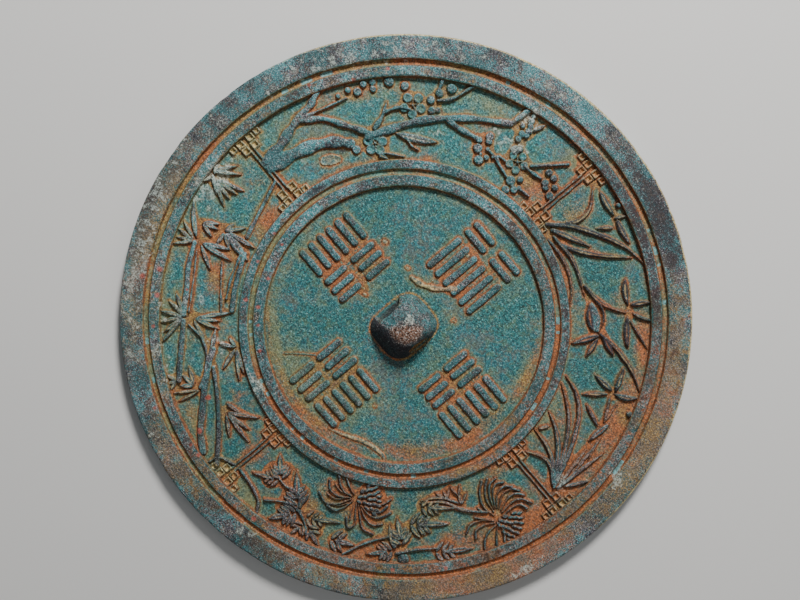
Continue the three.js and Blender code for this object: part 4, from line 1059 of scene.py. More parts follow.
DARK = (
    (15, 96, 18, 5, 0.85), (8, 88, 14, 3, 0.7), (35, 88, 12, 3, 0.45), (-82, 56, 8, 2, 0.8),
    (-75, 88, 7, 2.5, 0.5), (165, 96, 24, 5, 0.5), (245, 97, 20, 4, 0.6), (205, 96, 14, 4, 0.5),
    (228, 94, 6, 3, 0.6), (266, 95, 7, 3, 0.55), (-88, 97, 8, 3, 0.5), (-52, 94, 9, 3, 0.45),
    (-30, 97, 8, 3, 0.45), (-66, 91, 8, 2, 0.4), (-68, 67, 8, 4, 0.7), (45, 95, 14, 4, 0.4),
    (180, 52, 20, 2.5, 0.45), (187, 56, 6, 2, 0.6), (195, 88, 12, 3, 0.5),
    (60, 77, 20, 8, 0.35), (-5, 57, 12, 2, 0.3), (60, 56, 40, 2, 0.35), (15, 72, 12, 12, 0.35),
    (-60, 70, 14, 9, 0.25), (-60, 40, 14, 5, 0.3), (170, 22, 16, 5, 0.35),
    (130, 44, 10, 4, 0.4), (235, 44, 10, 4, 0.35),
)
DARK_TOPS = (
    (32, 72, 46, 20, 0.85), (20, 88, 34, 4, 0.7), (100, 88, 30, 4, 0.4), (150, 72, 30, 16, 0.5),
)
PALE = (
    (-22, 88, 7, 3, 0.5), (-19, 83, 3, 6, 0.8), (-60, 95, 34, 5, 0.5), (-12, 96, 12, 4, 0.5),
    (10, 94, 9, 3, 0.35), (238, 96, 34, 5, 0.6), (268, 95, 10, 4, 0.4), (222, 86, 16, 4, 0.45),
    (210, 88, 12, 3, 0.35), (75, 93, 3, 4, 0.9), (104, 97, 9, 2, 0.7), (198, 57, 5, 3, 0.8),
    (214, 66, 5, 4, 0.6), (258, 83, 8, 5, 0.85), (-40, 66, 9, 3, 0.5), (-82, 70, 7, 4, 0.4),
    (223, 77, 6, 6, 0.4), (-50, 97, 20, 4, 0.4), (-21, 73.5, 7, 4, 0.6), (168, 94, 4, 5, 0.4),
    (228, 71, 2, 2.5, 0.9), (-75.6, 64, 1.6, 2.4, 0.7), (198, 96, 10, 4, 0.4),
    (84, 78, 7, 4, 0.5),
)
BROWN = (
    (60, 95, 36, 6, 0.8), (112, 95, 26, 6, 1.1), (150, 95, 26, 6, 0.6), (190, 95, 20, 5, 0.6),
    (240, 95, 34, 6, 0.68), (12, 96, 22, 5, 0.45), (-20, 96, 12, 4, 0.3), (92, 88, 26, 3, 0.6),
    (70, 88, 22, 3, 0.5), (104, 56, 20, 2.5, 0.75), (205, 88, 10, 3, 0.6), (30, 95, 14, 5, 0.4),
    (90, 51, 22, 2.5, 0.5), (150, 51, 26, 2.5, 0.4), (120, 88, 24, 3, 0.5),
    (190, 56, 14, 2, 0.4), (195, 63, 7, 4, 0.45),
)
# Crusts that bridge the grooves: turn and half turn.
OUTER_PLUGS = (
    (-76.3, 0.8), (-71, 1.2), (-66.5, 1.4), (-26.6, 0.4), (-16.8, 0.6), (18.5, 0.4),
    (23.2, 1.0), (26.4, 0.4), (34.7, 0.5), (73.6, 1.8), (208, 0.6), (217, 0.7),
)
INNER_PLUGS = (
    (38, 1.4), (42.4, 0.6), (60.2, 0.5), (72, 1.6), (126.6, 0.9), (144.6, 0.9), (157, 0.9),
    (172.4, 0.7), (177.4, 0.5), (193.4, 0.9), (199, 0.9), (217, 0.6), (222, 0.5),
)
# Small red spots: turn, share of the radius in hundredths, and radius in millimetres.
RED_SPOTS = (
    (168, 88, 1.0), (188, 86.6, 0.9), (191, 87, 0.6), (202, 93, 0.8), (193, 82, 1.3),
    (200, 74, 1.2), (220.4, 88, 0.8), (227.6, 87, 1.2), (233.6, 87.6, 1.2), (231.4, 93, 1.0),
    (210.6, 51.4, 0.8), (220.8, 51, 0.7), (228, 51.4, 0.9), (230, 56, 0.9), (244.6, 55.6, 0.7),
    (256.4, 55.4, 0.7), (254.6, 51, 0.7), (240, 50.2, 0.8), (230, 77, 0.6), (-61, 86.4, 0.7),
    (-53, 88.6, 0.7), (-70.8, 89, 0.7), (120.6, 88.4, 0.8), (133, 88.2, 0.8),
)


# Soil along the grooves: groove, strength, first and last turn.
GROOVE_RUST = (
    ("outer", 1.0, -110, -80), ("outer", 0.8, -82, -18), ("outer", 0.55, -18, 74),
    ("outer", 1.0, 72, 178), ("inner", 0.95, 37, 200), ("inner", 0.7, 198, 214),
    ("inner", 0.35, -100, -40),
)
GROOVE_OLIVE = (
    ("outer", 0.62, 176, 249), ("inner", 0.66, 208, 282), ("inner", 0.4, -20, 40),
    ("outer", 0.5, -20, 40),
)

# The masks that the patina reads, and those of them that are cleared on the polished
# underside, which lies below the given height in millimetres.
MASKS = ("raised", "nook", "halo", "crowd", "crease", "rust", "olive", "dark", "pale", "brown",
         "crust", "red", "worn", "under", "stain", "vein", "verdant", "warm", "edge")
FACE_MASKS = ("nook", "halo", "crowd", "crease", "rust", "olive", "dark", "pale", "brown",
              "crust", "red")
UNDERSIDE = 0.05


def knob_masks(disc, points):
    """The knob's masks: its worn crown, a painted highlight of pale crust on its flank toward the
    light, painted shade of dark metal on its flank away from the light and inside one mouth, and
    the soil in its mouths.

    Across and upward are millimetres along the photograph's own axes.
    """
    x, y, z = points.T
    height = (z - disc.plate) / disc.knob[2]
    across, upward = 0.648 * x + 0.762 * y, 0.648 * y - 0.762 * x
    worn = np.exp(-((across - 1.2) / 6.4) ** 2 - ((upward + 1.5) / 3.8) ** 2)
    # Painted highlight: pale crust on the flank toward the light
    pale = np.exp(-((across - 2.4) / 3.6) ** 2 - ((upward - 3.6) / 3.0) ** 2)
    # Painted shade: dark metal on the flank away from the light
    shaded_flank = 1.6 * hermite(-2.6, -5.6, y - 0.25 * x) * hermite(1.0, 0.84, height)
    mouth = (hermite(5.4, 7.4, np.abs(x)) * hermite(0.78, 0.5, height)
             * hermite(6.5, 4.5, np.abs(y)))
    masks = dict.fromkeys(MASKS, np.zeros_like(x))
    masks.update({
        "raised": np.full_like(x, 0.8),
        # Painted shade: the knob's metal is darkened as on the warm side
        "warm": np.full_like(x, 0.6),
        "rust": mouth * (x > 0.0),
        "olive": mouth * (x < 0.0),
        # Painted shade on the far flank and painted shadow under the arch of the -X mouth
        "dark": np.clip(np.maximum(shaded_flank, 0.62 * mouth * (x < 0.0)), 0.0, 1.0),
        "pale": 0.78 * pale,
        "worn": 1.25 * worn * hermite(0.55, 0.85, height),
    })
    return masks


def patina_masks(disc, points, relief=None, top=None):
    """Soil and metal masks from 0 to 1 at each point of the disc.

    The gap is the distance outside the raised work. The nook falls off with it as
    exp(-gap/0.65 mm), the halo as exp(-gap/1.5 mm), and the crease is the band
    exp(-((gap - 0.05)/0.22)^2) at the foot of every edge, which lays dirt and painted
    shade there. Where strokes crowd, soil fills the ground between them. Verdant and
    warm say which side of the mirror is greener or browner, and the browner side also
    carries painted shade. The edge mask is a painted highlight along the rim's outer edge
    on the side toward the light, and the ground under the knob's arch at one mouth gets a
    painted shadow. The others are soft patches, and the polished underside has no soil.
    """
    x, y, z = points.T
    radius, turn = np.hypot(x, y), turn_of(x, y)
    gap = np.full_like(x, FAR)
    lift, crowd, stain, vein = (np.zeros_like(x) for _ in range(4))
    if relief:
        lift[top], gap[top] = relief.lift / disc.rise, relief.gap
        crowd[top], stain[top], vein[top] = relief.crowd, relief.stain, relief.vein
    wall = disc.wall_gap(radius)
    open_gap = np.minimum(gap, wall)

    def fall(outside, inside):
        return np.where(open_gap > 0.0, np.exp(-open_gap / outside), np.exp(open_gap / inside))

    # Places that wander off the true turn and radius, so that no patch has a smooth outline
    ragged_turn = turn + np.degrees(1.6 * fractal(x, y, 9.0, 5) / np.maximum(radius, 8.0))
    ragged_share = 100.0 * (radius + 1.4 * fractal(x, y, 8.0, 9)) / disc.radius

    def soil(table):
        return patches(ragged_turn, ragged_share, table)

    grooves = {
        name: hermite(0.35, 0.0, np.abs(radius - (high + low) / 2) - half)
        for name, high, low, half in (("outer", disc.rim_inner, disc.ridge_outer, 0.55),
                                      ("inner", disc.ring_middle, disc.ring_inner, 0.5))}
    crust = np.maximum(bridged(turn, OUTER_PLUGS) * grooves["outer"],
                       bridged(turn, INNER_PLUGS) * grooves["inner"])

    # The knob's foot gathers soil, and the ground inside its hole is rusty at one mouth and dark
    # with painted shadow under the arch at the other
    length, breadth = disc.knob[0] / 2.0, disc.knob[1] / 2.0
    around = (np.abs(x / length) ** 3.4 + np.abs(y / breadth) ** 3.4) ** (1.0 / 3.4)
    foot = np.exp(-np.abs((around - 1.0) * 10.0 - 0.3) / 0.55)
    below = hermite(1.0, 0.86, around)
    rust = np.maximum.reduce([soil(RUST), along_grooves(grooves, turn, GROOVE_RUST),
                              0.9 * foot, below * (x > 0.0)])
    olive = np.maximum.reduce([soil(OLIVE), along_grooves(grooves, turn, GROOVE_OLIVE),
                               0.8 * foot, 0.5 * below * (x < 0.0)])

    # The plum's and bamboo's side is greener, the other one warmer and darker, its darkening
    # painted shade
    on_rim = radius > disc.rim_inner
    side = np.abs(turn_away(turn, 278.0))
    rim_green = hermite(75.0, 45.0, np.abs(turn_away(turn, -50.0)))
    verdant = np.maximum.reduce([
        hermite(88.0, 62.0, side),
        0.9 * hermite(disc.band_inner + 0.4, disc.band_inner, radius),
        0.7 * hermite(disc.band_outer - 0.4, disc.band_outer, radius)])
    verdant = np.where(on_rim, 0.3 + 0.28 * rim_green, verdant)
    # Warm marks the browner side, which the patina also darkens with painted shade
    warm = np.where(radius < disc.field, 0.6, hermite(62.0, 88.0, side))
    warm = np.where(on_rim, 0.3, warm)

    ringed = hermite(0.0, -0.5, wall) * (radius < disc.ridge_outer + 0.5)
    ring_brown = 0.2 + 0.14 * hermite(60.0, 95.0, side) + 0.15 * (radius > disc.band_outer)
    tops = hermite(0.4, 0.8, np.maximum(lift, ringed))
    # Dark patches, painted shadow under the knob's arch at the -X mouth, and dark tops
    dark = np.maximum.reduce([soil(DARK), 0.7 * below * (x < 0.0), soil(DARK_TOPS) * tops])
    crowded = np.where(radius < disc.field, 2.8 * crowd - 2.8, 2.0 * crowd - 2.45)
    # Painted highlight: a cream line along the rim's outer edge on the side toward the light
    rim_edge_highlight = (np.exp(-np.abs(disc.radius - 0.3 - radius) / 0.4)
                * hermite(disc.rim_top - 0.9, disc.rim_top - 0.3, z)
                * hermite(105.0, 60.0, np.abs(turn_away(turn, 10.0))))
    masks = {
        "raised": np.clip(np.maximum(lift, hermite(0.2, -0.6, wall)), 0.0, 1.0),
        "nook": fall(0.65, 0.2),
        "halo": fall(1.5, 0.3),
        "crowd": np.clip(crowded, 0.0, 0.95) * (gap > 0.0),
        # Painted shade and dirt: a dark band at the foot of every edge and wall
        "crease": np.exp(-((open_gap - 0.05) / 0.22) ** 2),
        "stain": stain,
        "vein": vein * (0.75 + 0.05 * warm),
        "verdant": verdant,
        "warm": warm,
        "edge": rim_edge_highlight,
        "rust": np.clip(rust, 0.0, 1.0),
        "olive": np.clip(olive, 0.0, 1.0),
        "dark": np.clip(dark, 0.0, 1.0),
        "pale": np.clip(soil(PALE), 0.0, 1.0),
        "brown": np.clip(np.maximum(soil(BROWN), ringed * ring_brown), 0.0, 1.0),
        "crust": crust,
        "red": red_spots(disc, x, y),
        "worn": np.zeros_like(x),
        "under": (z < UNDERSIDE).astype(float),
    }
    for name in FACE_MASKS:
        masks[name] = np.where(z < UNDERSIDE, 0.0, masks[name])
    masks["raised"] = np.where(z < UNDERSIDE, 1.0, masks["raised"])
    return masks


def carve_everything(relief):
    """All the raised work, of which each skin keeps what lies on its own points."""
    for turn in (0, 90, 180, 270):
        carve_divider(relief, turn)
    carve_plum(relief)
    carve_orchid(relief)
    carve_chrysanthemum(relief)
    carve_bamboo(relief)
    carve_stroke_rows(relief)
    carve_flaws(relief)


def weathered(disc, points, relief):
    """Gives the open points their height.

    That is the disc's profile, averaged over a ragged shift of its edges, or the raised
    work, plus a corroded waviness, minus pits where a fine noise passes 0.5.
    """
    shift, wave, grit, pit_depth, margin = 0.16, 0.05, 0.07, 0.3, 0.02
    top = np.isnan(points[:, 2])
    x, y = points[top, 0], points[top, 1]
    radius = np.hypot(x, y)
    if relief:
        lift = relief.lift * (1.0 - 0.2 * np.clip(fractal(x, y, 7.0, 21), 0.0, 1.0))
        lift *= hermite(disc.band_outer + 0.3, disc.band_outer - 0.2, radius)
        height = disc.plate + lift + grit * fractal(x, y, 1.1, 91) * hermite(0.2, 0.9, lift)
    else:
        ragged = radius + shift * fractal(x, y, 5.0, 3)
        height = sum(disc.profile(ragged + step) for step in (-shift, -0.05, 0.05, shift)) / 4.0
    height += wave * fractal(x, y, 1.5, 31) + wave * fractal(x, y, 14.0, 41)
    pits = np.clip(grain(x, y, 1.5, 51) - 0.5, 0.0, 1.0)
    height -= pit_depth * pits * np.clip(0.4 + fractal(x, y, 18.0, 61), 0.0, 1.0)
    points[top, 2] = np.clip(height, disc.plate - POCKET_FLOOR + margin, disc.rim_top - margin)


def chip_edge(disc, points):
    """Draws the outermost points in, and further by chips where a noise passes 0.25."""
    inset, chip_depth = 0.02, 0.5
    x, y = points[:, 0], points[:, 1]
    chips = np.clip(fractal(x, y, 6.0, 71) - 0.25, 0.0, 1.0)
    edge = np.hypot(x, y) > disc.radius - disc.bevel - 0.01
    shrink = np.where(edge, 1.0 - (inset + chip_depth * chips) / disc.radius, 1.0)
    points[:, :2] *= shrink[:, None]


def add_skin(context, name, points, faces, walls, masks):
    """Puts one skin into the scene with the patina, standing for the cast mirror."""
    mesh = mesh_from(name, points, faces, walls, masks)
    mesh.materials.append(patina_material(context.scene.patina_colours))
    skin = bpy.data.objects.new(name, mesh)
    context.scene.collection.objects.link(skin)
    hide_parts(NODE)
    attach(skin, "root")


def add_carved_skin(context, disc, name, points, faces, walls):
    """Carves the open points of a slab, weathers them and adds it as a skin."""
    top = np.isnan(points[:, 2])
    relief = Relief(disc, points[top, 0], points[top, 1])
    carve_everything(relief)
    weathered(disc, points, relief)
    add_skin(context, name, points, faces, walls, patina_masks(disc, points, relief, top))


def mesh_from(name, points, faces, walls, masks):
    """A mesh from whole arrays: faces are smooth and walls flat, and masks are attributes."""
    groups = list(faces) + list(walls)
    sizes = np.concatenate([np.full(len(group), group.shape[1]) for group in groups])
    corners = np.concatenate([group.ravel() for group in groups])
    smooth = np.arange(len(sizes)) < sum(len(group) for group in faces)
    mesh = bpy.data.meshes.new(name)
    mesh.vertices.add(len(points))
    mesh.vertices.foreach_set("co", (points * MM).astype(np.float32).ravel())
    mesh.loops.add(len(corners))
    mesh.loops.foreach_set("vertex_index", corners.astype(np.int32))
    mesh.polygons.add(len(sizes))
    mesh.polygons.foreach_set("loop_start", (np.cumsum(sizes) - sizes).astype(np.int32))
    mesh.polygons.foreach_set("loop_total", sizes.astype(np.int32))
    mesh.polygons.foreach_set("use_smooth", smooth)
    for key, values in masks.items():
        attribute = mesh.attributes.new(key, "FLOAT", "POINT")
        attribute.data.foreach_set("value", values.astype(np.float32))
    mesh.update(calc_edges=True)
    mesh.validate()
    return mesh


# Materials

class Graph:
    """Short calls for placing and joining shader nodes."""

    def __init__(self, tree):
        self.tree = tree
        self.nodes, self.links = tree.nodes, tree.links

    def set(self, socket, value):
        """Joins an output to a socket, or gives the socket a plain value."""
        if isinstance(value, bpy.types.NodeSocket):
            self.links.new(value, socket)
        elif socket.type == "RGBA" and len(value) == 3:
            socket.default_value = (*value, 1.0)
        else:
            socket.default_value = value

    def attribute(self, name):
        node = self.nodes.new("ShaderNodeAttribute")
        node.attribute_name = name
        return node.outputs["Fac"]

    def maths(self, operation, a, b, clamp=False):
        node = self.nodes.new("ShaderNodeMath")
        node.operation, node.use_clamp = operation, clamp
        self.set(node.inputs[0], a)
        self.set(node.inputs[1], b)
        return node.outputs[0]

    def times(self, a, b):
        return self.maths("MULTIPLY", a, b)

    def plus(self, a, b):
        return self.maths("ADD", a, b)

    def mix(self, share, a, b, blend="MIX"):
        node = self.nodes.new("ShaderNodeMix")
        node.data_type, node.blend_type, node.clamp_factor = "RGBA", blend, True
        self.set(node.inputs["Factor"], share)
        self.set(node.inputs[6], a)
        self.set(node.inputs[7], b)
        return node.outputs[2]

    def shaded(self, colour, grey):
        """A colour times a grey value."""
        return self.mix(1.0, colour, grey, "MULTIPLY")

    def span(self, value, low, high, to_low=0.0, to_high=1.0):
        """A smooth step: to_low where the value is low, to_high where it is high."""
        node = self.nodes.new("ShaderNodeMapRange")
        node.interpolation_type = "SMOOTHSTEP"
        for name, number in (("Value", value), ("From Min", low), ("From Max", high),
                             ("To Min", to_low), ("To Max", to_high)):
            self.set(node.inputs[name], number)
        return node.outputs["Result"]

    def noise(self, position, scale, detail, roughness):
        node = self.nodes.new("ShaderNodeTexNoise")
        for name, value in (("Scale", scale), ("Detail", detail), ("Roughness", roughness),
                            ("Vector", position)):
            self.set(node.inputs[name], value)
        return node.outputs["Fac"]

    def group(self, tree, **values):
        """A node of a shared group, with its inputs set; a low line stands for a space."""
        node = self.nodes.new("ShaderNodeGroup")
        node.node_tree = tree
        for name, value in values.items():
            self.set(node.inputs[name.replace("_", " ")], value)
        return node.outputs


def node_group(name, inputs, outputs):
    """A new shared group: its graph, inputs and outputs. An input without a default value
    is a vector."""
    tree = bpy.data.node_groups.new(name, "ShaderNodeTree")
    for key, default in inputs:
        kind = "NodeSocketVector" if default is None else "NodeSocketFloat"
        socket = tree.interface.new_socket(key, in_out="INPUT", socket_type=kind)
        if default is not None:
            socket.default_value = default
    for key in outputs:
        tree.interface.new_socket(key, in_out="OUTPUT", socket_type="NodeSocketFloat")
    g = Graph(tree)
    return g, g.nodes.new("NodeGroupInput").outputs, g.nodes.new("NodeGroupOutput").inputs


def grains_group():
    """Fine grains, coarse blotches and the mean of both, each round 0.5, with their sizes
    in millimetres."""
    g, given, result = node_group(
        "Corrosion Grains",
        (("Position", None), ("Grain Size", 0.9), ("Blotch Size", 6.0), ("Shift", 0.0)),
        ("Grains", "Blotches", "Both"))
    offset = g.nodes.new("ShaderNodeVectorMath")
    offset.operation = "ADD"
    g.set(offset.inputs[0], given["Position"])
    g.set(offset.inputs[1], given["Shift"])
    noises = []
    for size, roughness in (("Grain Size", 0.62), ("Blotch Size", 0.6)):
        scale = g.maths("DIVIDE", 1.0 / MM, given[size])
        noises.append(g.noise(offset.outputs[0], scale, 4.0, roughness))
    g.set(result["Grains"], noises[0])
    g.set(result["Blotches"], noises[1])
    g.set(result["Both"], g.times(g.plus(*noises), 0.5))
    return g.tree


def ragged_group():
    """A mask eaten at its edges: where mask plus noise passes a threshold."""
    g, given, result = node_group(
        "Ragged Mask",
        (("Mask", 0.0), ("Noise", 0.5), ("Strength", 1.0), ("Softness", 0.2)), ("Cover",))
    mask = g.times(given["Mask"], given["Strength"])
    noise = g.times(g.maths("SUBTRACT", given["Noise"], 0.5), 2.2)
    low, high = (g.maths(way, 0.5, given["Softness"]) for way in ("SUBTRACT", "ADD"))
    cover = g.span(g.plus(mask, noise), low, high)
    g.set(result["Cover"], g.times(cover, g.span(mask, 0.02, 0.2)))
    return g.tree


class Patina(Graph):
    """The graph of the patina, with its colours, its masks and four sets of grains."""

    def __init__(self, tree, colours):
        super().__init__(tree)
        self.colours = colours
        self.ragged_tree, grains_tree = ragged_group(), grains_group()
        self.mask = {name: self.attribute(name) for name in MASKS}
        place = self.nodes.new("ShaderNodeTexCoord").outputs["Object"]
        self.ground, self.second, self.third, self.fine = (
            self.group(grains_tree, Position=place, Grain_Size=size, Blotch_Size=blotch,
                       Shift=shift)
            for size, blotch, shift in ((0.62, 7.0, 0.0), (0.6, 3.2, 0.31),
                                        (1.8, 14.0, 0.73), (0.38, 0.9, 0.17)))

    def ragged(self, mask, noise, strength, softness):
        """A mask, or any cover, eaten at its edges by a noise."""
        mask = self.mask[mask] if isinstance(mask, str) else mask
        return self.group(self.ragged_tree, Mask=mask, Noise=noise, Strength=strength,
                          Softness=softness)["Cover"]

    def over(self, base, tone, cover, strength):
        """Lays a tone on a base, where the cover is and at the strength."""
        return self.mix(self.times(cover, strength), base, tone)

    def sunk_ground(self):
        """Dark and light grains, blue and green drifts, thin earth and small pits, with painted
        shade darkening the warm side.
        """
        c, second, third = self.colours, self.second, self.third
        colour = self.mix(self.span(self.ground["Grains"], 0.34, 0.62),
                          c.deep_verdigris, c.verdigris)
        for tone, noise, low, high, strength in (
                (c.blue_verdigris, third["Blotches"], 0.4, 0.62, 0.45),
                (c.green_verdigris, second["Blotches"], 0.48, 0.64, 0.55),
                (c.pale_verdigris, second["Grains"], 0.55, 0.68, 1.0),
                (c.umber_metal, third["Both"], 0.51, 0.58, 0.5),
                (c.dark_metal, second["Grains"], 0.42, 0.32, 0.75)):
            colour = self.over(colour, tone, self.span(noise, low, high), strength)
        # Painted shade: the ground darkens towards the warm side
        return self.shaded(colour, self.span(self.mask["warm"], 0.0, 1.0, 1.0, 0.78))

    def raised_metal(self):
        """Grey metal of the tops with dark blots, umber, blue-green and pale grains, with painted
        shade darkening the warm side.
        """
        c, mask, second, third = self.colours, self.mask, self.second, self.third
        metal = self.mix(self.span(second["Both"], 0.465, 0.54), c.dark_metal, c.raised_metal)
        umber = self.times(self.span(third["Grains"], 0.48, 0.6),
                           self.span(mask["warm"], 0.2, 1.0, 0.65, 0.3))
        metal = self.mix(umber, metal, c.umber_metal)
        green = self.plus(self.plus(self.ground["Both"], self.times(mask["verdant"], 0.055)),
                          self.times(mask["warm"], 0.022))
        for tone, noise, low, high, strength in (
                (c.metal_verdigris, green, 0.5, 0.54, 0.88),
                (c.dark_metal, second["Blotches"], 0.53, 0.6, 0.78),
                (c.pale_metal, self.fine["Grains"], 0.53, 0.63, 0.7)):
            metal = self.over(metal, tone, self.span(noise, low, high), strength)
        # Painted shade: the tops darken towards the warm side
        metal = self.shaded(metal, self.span(mask["warm"], 0.0, 1.0, 1.0, 0.7))
        return self.shaded(metal, self.span(third["Blotches"], 0.38, 0.62, 0.62, 1.3))

    def soil_hue(self):
        """From 0 for ochre to 1 for rust: redder in rust patches and nooks."""
        mask = self.mask
        hue = self.plus(self.third["Blotches"], self.times(mask["rust"], 0.1))
        hue = self.plus(hue, self.span(mask["warm"], 0.0, 1.0, -0.1, 0.03))
        hue = self.plus(hue, self.times(mask["nook"], 0.11))
        return self.span(self.maths("SUBTRACT", hue, self.times(mask["olive"], 0.13)), 0.42, 0.6)

    def with_soils(self, colour, hue):
        """Earth and mineral films, from the thinnest to the thickest, and dirt with painted shade
        at the foot of every edge.
        """
        c, mask = self.colours, self.mask
        ground, second, third = self.ground["Both"], self.second, self.third
        sunk = self.maths("SUBTRACT", 1.0, self.times(mask["raised"], 0.8))
        halo = self.times(self.ragged("halo", third["Both"], 1.0, 0.4), sunk)
        colour = self.over(colour, c.olive_film, halo, 0.55)
        olive = self.times(self.ragged("olive", ground, 0.9, 0.3), sunk)
        colour = self.over(colour, c.olive_soil, olive, 0.66)
        soil = self.mix(hue, c.ochre_soil, c.rust_soil)
        soil = self.mix(self.span(second["Grains"], 0.6, 0.36), soil, c.brown_soil)
        stained = self.mix(self.span(ground, 0.42, 0.53), c.umber_metal, soil)
        brown = self.ragged("brown", second["Both"], 0.95, 0.3)
        colour = self.over(colour, stained, brown, 0.78)
        dark = self.ragged("dark", second["Both"], 0.95, 0.2)
        colour = self.over(colour, c.dark_metal, dark, 0.85)
        held = self.times(self.maths("MAXIMUM", mask["nook"], mask["crowd"]),
                          self.span(third["Blotches"], 0.38, 0.56, 0.7, 1.1))
        open_ground = self.maths("SUBTRACT", 1.0, self.times(mask["raised"], 0.92))
        earth = self.maths("MAXIMUM", held, self.times(mask["rust"], open_ground))
        colour = self.over(colour, soil, self.ragged(earth, ground, 1.0, 0.28), 0.9)
        # Dirt and painted shade at the foot of every edge, stronger on the warm side
        dirt_and_shade = self.plus(self.span(ground, 0.4, 0.58, 0.05, 0.6), self.times(mask["warm"], 0.25))
        colour = self.over(colour, c.crease, mask["crease"], dirt_and_shade)
        vein = self.mix(hue, c.cream_crust_and_highlight, c.rust_soil)
        return self.over(colour, vein, self.ragged("vein", ground, 1.0, 0.3), 0.5)

    def with_crusts(self, colour, hue):
        """Scabs, specks, crusts over the grooves, pale wear, red spots and a painted highlight
        along the rim's edge.
        """
        c, mask, fine, second = self.colours, self.mask, self.fine, self.second
        pale = self.ragged("pale", second["Blotches"], 0.8, 0.12)
        colour = self.over(colour, c.pale_crust, pale,
                           self.span(fine["Both"], 0.42, 0.54, 0.1, 0.62))
        colour = self.over(colour, c.pale_crust, self.span(fine["Grains"], 0.63, 0.7), 0.8)
        gold = self.over(c.cream_crust_and_highlight, c.rust_soil, self.times(hue, mask["warm"]), 0.8)
        for tone, cover, strength in (
                (c.bright_crust, self.ragged("crust", second["Both"], 0.75, 0.2), 0.8),
                (gold, self.ragged("stain", fine["Both"], 0.9, 0.3), 0.7),
                (c.red_spot, mask["red"], 0.75),
                # Painted highlight along the rim's outer edge
                (c.cream_crust_and_highlight, self.ragged("edge", self.ground["Both"], 1.0, 0.2), 0.8)):
            colour = self.over(colour, tone, cover, strength)
        return colour

    def worn_metal(self):
        """Coppery metal of the rubbed crown, with brown and dark grains, and bright grains that are
        partly painted glints.
        """
        c = self.colours
        worn = self.mix(self.span(self.ground["Both"], 0.4, 0.58), c.brown_soil, c.worn_bronze)
        # Bright grains, partly painted glints on the rubbed crown
        worn = self.mix(self.span(self.second["Grains"], 0.51, 0.62), worn, c.bright_metal_and_glint)
        return self.over(worn, c.dark_metal, self.span(self.fine["Both"], 0.48, 0.38), 0.8)


def patina_material(colours):
    """Verdigris, soil, crust and worn metal over cast bronze."""
    material = bpy.data.materials.get("Patinated Bronze")
    if material:
        return material
    material = bpy.data.materials.new("Patinated Bronze")
    material.use_nodes = True
    material.node_tree.nodes.clear()
    p = Patina(material.node_tree, colours)
    hue, under = p.soil_hue(), p.mask["under"]
    tops = p.ragged("raised", p.third["Both"], 0.95, 0.25)
    colour = p.over(p.sunk_ground(), p.raised_metal(), tops, 0.94)
    colour = p.with_crusts(p.with_soils(colour, hue), hue)
    rubbed = p.ragged("worn", p.second["Both"], 0.9, 0.25)
    colour = p.over(colour, p.worn_metal(), rubbed, 0.85)
    colour = p.over(colour, colours.dark_metal, under, 0.6)
    colour = p.shaded(colour, p.span(p.fine["Both"], 0.39, 0.61, 0.5, 1.46))

    shader = p.nodes.new("ShaderNodeBsdfPrincipled")
    p.set(shader.inputs["Base Color"], colour)
    p.set(shader.inputs["Metallic"],
          p.maths("ADD", p.times(rubbed, 0.5), p.times(under, 0.4), clamp=True))
    rough = p.span(p.second["Grains"], 0.3, 0.7, 0.62, 0.86)
    p.set(shader.inputs["Roughness"], p.maths("SUBTRACT", rough, p.times(rubbed, 0.25)))
    bump = p.nodes.new("ShaderNodeBump")
    height = p.plus(p.times(p.ground["Grains"], 0.5), p.times(p.fine["Both"], 0.7))
    for name, value in (("Strength", 0.7), ("Distance", 0.0006), ("Height", height)):
        p.set(bump.inputs[name], value)
    p.set(shader.inputs["Normal"], bump.outputs["Normal"])
    output = p.nodes.new("ShaderNodeOutputMaterial")
    p.set(output.inputs["Surface"], shader.outputs["BSDF"])
    return material


def floor_material(colours):
    """Matt pale floor with a very faint unevenness."""
    material = bpy.data.materials.new("Studio Floor")
    material.use_nodes = True
    g = Graph(material.node_tree)
    shader = g.nodes["Principled BSDF"]
    place = g.nodes.new("ShaderNodeTexCoord").outputs["Object"]
    tone = g.span(g.noise(place, 4.0, 3.0, 0.55), 0.3, 0.7, 0.0, 0.04)
    g.set(shader.inputs["Base Color"], g.mix(tone, tuple(colours.floor), (0.5, 0.5, 0.5)))
    shader.inputs["Roughness"].default_value = 0.9
    return material


# Operators

class MIRROR_OT_build_disc(bpy.types.Operator):
    """Turn the disc with its rim, ridge, grooves, rings and polished face"""
    bl_idname = "mirror.build_disc"
    bl_label = "Build Disc"

    def execute(self, context):
        disc = Disc(context.scene.mirror_sizes)
        points, faces = ring_mesh(disc_rings(disc), 0.0)
        points[-1, 2] = disc.plate - POCKET_FLOOR
        weathered(disc, points, None)
        chip_edge(disc, points)
        add_skin(context, "turned_disc", points, faces, [], patina_masks(disc, points))
        return {"FINISHED"}


class MIRROR_OT_build_pictures(bpy.types.Operator):
    """Carve the four pictures of the band: plum, orchid, chrysanthemum and bamboo"""
    bl_idname = "mirror.build_pictures"
    bl_label = "Build Pictures"

    def execute(self, context):
        disc = Disc(context.scene.mirror_sizes)
        for name, first in (("plum", -90), ("orchid", 0), ("chrysanthemum", 90),
                            ("bamboo", 180)):
            slab = picture_grid(disc, first, first + 90)
            add_carved_skin(context, disc, name + "_picture", *slab)
        return {"FINISHED"}


